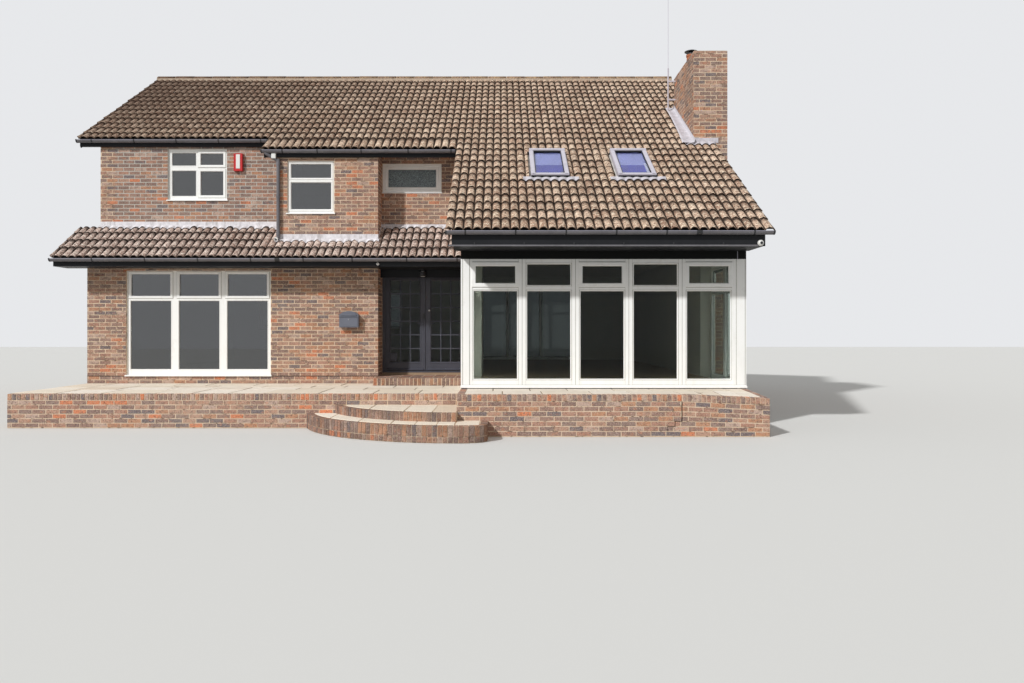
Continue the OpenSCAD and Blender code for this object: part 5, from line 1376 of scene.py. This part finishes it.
# ---------------------------------------------------------------- gutters, pipes, boards
GUTTERS = {      # from, to, eave, top, clips, unions
    "left": (VERGE_LEFT, VERGE_MID - 0.003, EAVE_LEFT, 5.4418, [-6.2 + 0.85*k for k in range(5)], []),
    "middle": (VERGE_MID, VERGE_LONG - 0.003, EAVE_MID, 5.1191, [-2.226, -1.545, -0.69, 0.223, 1.058], []),
    "long": (VERGE_LONG, VERGE_RIGHT, EAVE_LONG, 3.1519, [1.4765, 2.257, 3.04, 3.82, 4.6, 5.957], [5.107]),
    "lean_to": (VERGE_LEFT, X_LOUNGE - 0.005, LEAN_EAVE, 2.966,
                [-5.7, -4.7, -3.7, -2.7, -1.706, -0.781, 0.247, 1.2], [-2.2]),
    "rear": (VERGE_LEFT, VERGE_RIGHT, EAVE_REAR, 5.4418, [-6.2 + 0.94*k for k in range(14)], [-1.9, 2.3]),
}
HALF = [math.pi + math.pi*i/12 for i in range(13)]


def bands(s, xs, y, z, width, lip):
    """Clips and unions round a half-round gutter, with its middle at y, its top at z and its lip at y lip."""
    for x in xs:
        ends = (x - width/2, x + width/2)
        v = [(u, y + r*math.cos(a), z + 0.003 + r*math.sin(a))
             for u in ends for a in HALF for r in (GUTTER_R + 0.0045, GUTTER_R - 0.001)]
        f = []
        for i in range(0, 24, 2):
            f += [(i, i + 2, i + 28, i + 26), (i, i + 1, i + 3, i + 2), (i + 26, i + 28, i + 29, i + 27)]
        s.add(v, f)
        s.box((ends[0], lip - 0.006, z - 0.004), (ends[1], lip + 0.006, z + 0.007))


for key, (x0, x1, eave, z, clips, unions) in GUTTERS.items():
    side = -1 if eave < 0 else 1
    y = eave + side*GUTTER_OUT
    lip = y + side*GUTTER_R
    s = Shape()
    for xs, width in ((clips, 0.024), (unions, 0.09), ([x0 + 0.014, x1 - 0.014], 0.026)):
        bands(s, xs, y, z, width, lip)
    make(s, "gutter_clips_" + key, "black")
    # The bead along each gutter's front rim, paler than the gutter: a painted highlight
    s = Shape()
    s.tube([(x0, lip, z - 0.001), (x1, lip, z - 0.001)], 0.0055, 8)
    make(s, "gutter_rim_highlight_" + key, "lip")

s = on_front(LONG_FASCIA_Y)
s.box((VERGE_LONG + 0.05, 0.0, LONG_FASCIA_Z - 0.002), (X_RIGHT - 0.05, 0.009, LONG_FASCIA_Z + 0.022))
make(s, "long_fascia_lip", "gutter")
s = on_front(LONG_FASCIA_Y)
for k in range(6):
    x = 1.615 + 0.777*k
    s.box((x - 0.01, 0.0, LONG_FASCIA_Z + 0.03), (x + 0.01, 0.014, LONG_FASCIA_Z + 0.06))
make(s, "long_fascia_clips", "black")

# Downpipes: neck from the gutter, sockets and shoe of the front one, sockets of the rear ones
SOCKET_R = 0.0395
px, py = X_BAY + 0.04, Y_BAY - 0.054


def sockets(s, x, y, spans):
    """Collars round an upright pipe, each from one height to another."""
    for z0, z1 in spans:
        s.tube([(x, y, z0), (x, y, z1)], SOCKET_R, 20)


s = Shape()
s.tube([(px, py, 4.87), (px, py, 4.91), (px - 0.025, py - 0.006, 4.94), (px - 0.21, EAVE_MID + 0.004, 5.05),
        (px - 0.24, EAVE_MID, 5.08)], 0.034, 16)
sockets(s, px, py, ((4.84, 4.9), (4.2, 4.27), (3.46, 3.53)))
s.tube([(px, py, 3.47), (px, py, 3.44), (px - 0.01, py - 0.03, 3.405), (px - 0.02, py - 0.075, 3.39)],
       0.036, 16)
for x in (X_LEFT + 0.12, X_RIGHT - 0.12):
    sockets(s, x, Y_REAR + 0.054, [(z, z + 0.075) for z in (5.18, 3.4, 1.6, 0.16)])
make(s, "downpipe_neck_and_sockets", "gutter")
s = Shape()
s.tube([(px - 0.02, py - 0.075, 3.39), (px - 0.022, py - 0.083, 3.388)], 0.039, 20)
s.box((-2.448, -4.642, 4.965), (-2.366, -4.582, 5.07))
s.box((-2.44, -4.646, 4.985), (-2.374, -4.641, 5.06))
make(s, "pipe_end_and_sensor", "pale")
SPOT_X = -0.306
# A black disc in the shoe's open end, painted shade for the pipe's dark inside, and the spotlight's dark
# front
s = Shape()
s.tube([(px - 0.0221, py - 0.0835, 3.388), (px - 0.0222, py - 0.0845, 3.388)], 0.028, 20)
s.tube([(SPOT_X, -5.098, 2.868), (SPOT_X, -5.09, 2.868)], 0.012, 12)
make(s, "pipe_mouth_shade_and_spot_front", "black")
s = Shape()
s.tube([(SPOT_X, -5.055, 2.87), (SPOT_X, -5.075, 2.87), (SPOT_X, -5.092, 2.868)], [0.018, 0.026, 0.024], 16)
make(s, "eaves_spotlight", "pale")

# ---------------------------------------------------------------- small fittings
ALARM_Y, BOX_Y = Y_FRONT - 0.0703, Y_BAY - 0.13
BOX_X, BOX_Z = X_PORCH - 0.738, TERRACE_Z + 1.105
s = on_front(ALARM_Y)
s.pad(corners(-3.325, -3.24, 4.875, 5.165), 0.0, 0.008, 0.006)
make(s, "alarm_front_panel", "pale")
s = on_front(ALARM_Y)
s.ring(-3.37, -3.195, 4.83, 5.186, [(0.0, 0.0), (0.0, 0.003), (0.006, 0.006), (0.008, 0.006), (0.008, 0.0)])
make(s, "alarm_rim", "red")
s = on_front(BOX_Y)
s.pad(corners(BOX_X + 0.012, BOX_X + 0.363, BOX_Z + 0.012, BOX_Z + 0.196), 0.0, 0.006, 0.005)
s.pad([(BOX_X + 0.03, BOX_Z + 0.222), (BOX_X + 0.345, BOX_Z + 0.222), (BOX_X + 0.33, BOX_Z + 0.268),
       (BOX_X + 0.045, BOX_Z + 0.268)], 0.0, 0.012, 0.006)
s.box((BOX_X - 0.006, 0.0, BOX_Z + 0.202), (BOX_X + 0.381, 0.014, BOX_Z + 0.212))
make(s, "letter_box_door_and_flap", "casing")
s = on_front(BOX_Y)
s.tube([(BOX_X + 0.1875, 0.005, BOX_Z + 0.15), (BOX_X + 0.1875, 0.012, BOX_Z + 0.15)], 0.009, 16)
make(s, "letter_box_lock", "steel")
s = Shape()
lens_y, lens_z = LONG_FASCIA_Y - 0.058, LONG_FASCIA_Z + 0.048
s.tube([(VERGE_RIGHT - 0.203, lens_y + d, lens_z) for d in (0.003, -0.003)], 0.022, 20)
make(s, "camera_lens", "black")

# ---------------------------------------------------------------- camera, light, floor
scene = bpy.context.scene
scene.view_settings.view_transform = "Standard"


def staged(name, data):
    """A camera, light or mesh as an object in the scene."""
    obj = bpy.data.objects.new(name, data)
    scene.collection.objects.link(obj)
    return obj


# The photo's camera: focal length and shifts in its pixels
WIDTH_PX, FOCAL_PX, SHIFT_PX = 1024, 845, (11, -11.5)
cam_data = bpy.data.cameras.new("camera")
cam = staged("camera", cam_data)
cam.location = (2.03, -21.11, 1.616)
cam.rotation_euler = (math.radians(90), 0, 0)
cam_data.sensor_width = 36.0
cam_data.lens = 36.0*FOCAL_PX/WIDTH_PX
cam_data.shift_x, cam_data.shift_y = (p/WIDTH_PX for p in SHIFT_PX)
scene.camera = cam

# A white sky gives light, and rays from the camera see a greyer one
world = bpy.data.worlds.new("world")
scene.world = world
sky = Nodes(world)
light, shown = sky.t.nodes["Background"], sky.new("ShaderNodeBackground")
for node, rgb, strength in ((light, (1.0, 1.0, 1.0), 0.45), (shown, (0.8, 0.81, 0.83), 1.0)):
    node.inputs["Color"].default_value = (*rgb, 1)
    node.inputs["Strength"].default_value = strength
blend = sky.new("ShaderNodeMixShader")
for i, socket in enumerate((sky.seen(), light.outputs[0], shown.outputs[0])):
    sky.link(socket, blend.inputs[i])
sky.link(blend.outputs[0], sky.t.nodes["World Output"].inputs["Surface"])

sun_data = bpy.data.lights.new("sun", "SUN")
sun_data.energy = 2.8
sun_data.angle = math.radians(3)
sun = staged("sun", sun_data)
sun.rotation_mode = "QUATERNION"
sun.rotation_quaternion = Vector((0.85, 1.0, -0.95)).to_track_quat("-Z", "Y")

FLOOR_R = 60
floor_mesh = bpy.data.meshes.new("floor")
floor_mesh.from_pydata([(x, y, 0) for x, y in corners(-FLOOR_R, FLOOR_R, -FLOOR_R, FLOOR_R)], [],
                       [(0, 1, 2, 3)])
floor = staged("floor", floor_mesh)
floor.location.z = -0.002
look = Nodes("pale_floor")
colour = look.mix(look.seen(), (0.45, 0.45, 0.44), (0.72, 0.72, 0.7))
floor_mesh.materials.append(look.finish(colour, 0.9, spec=0.1))
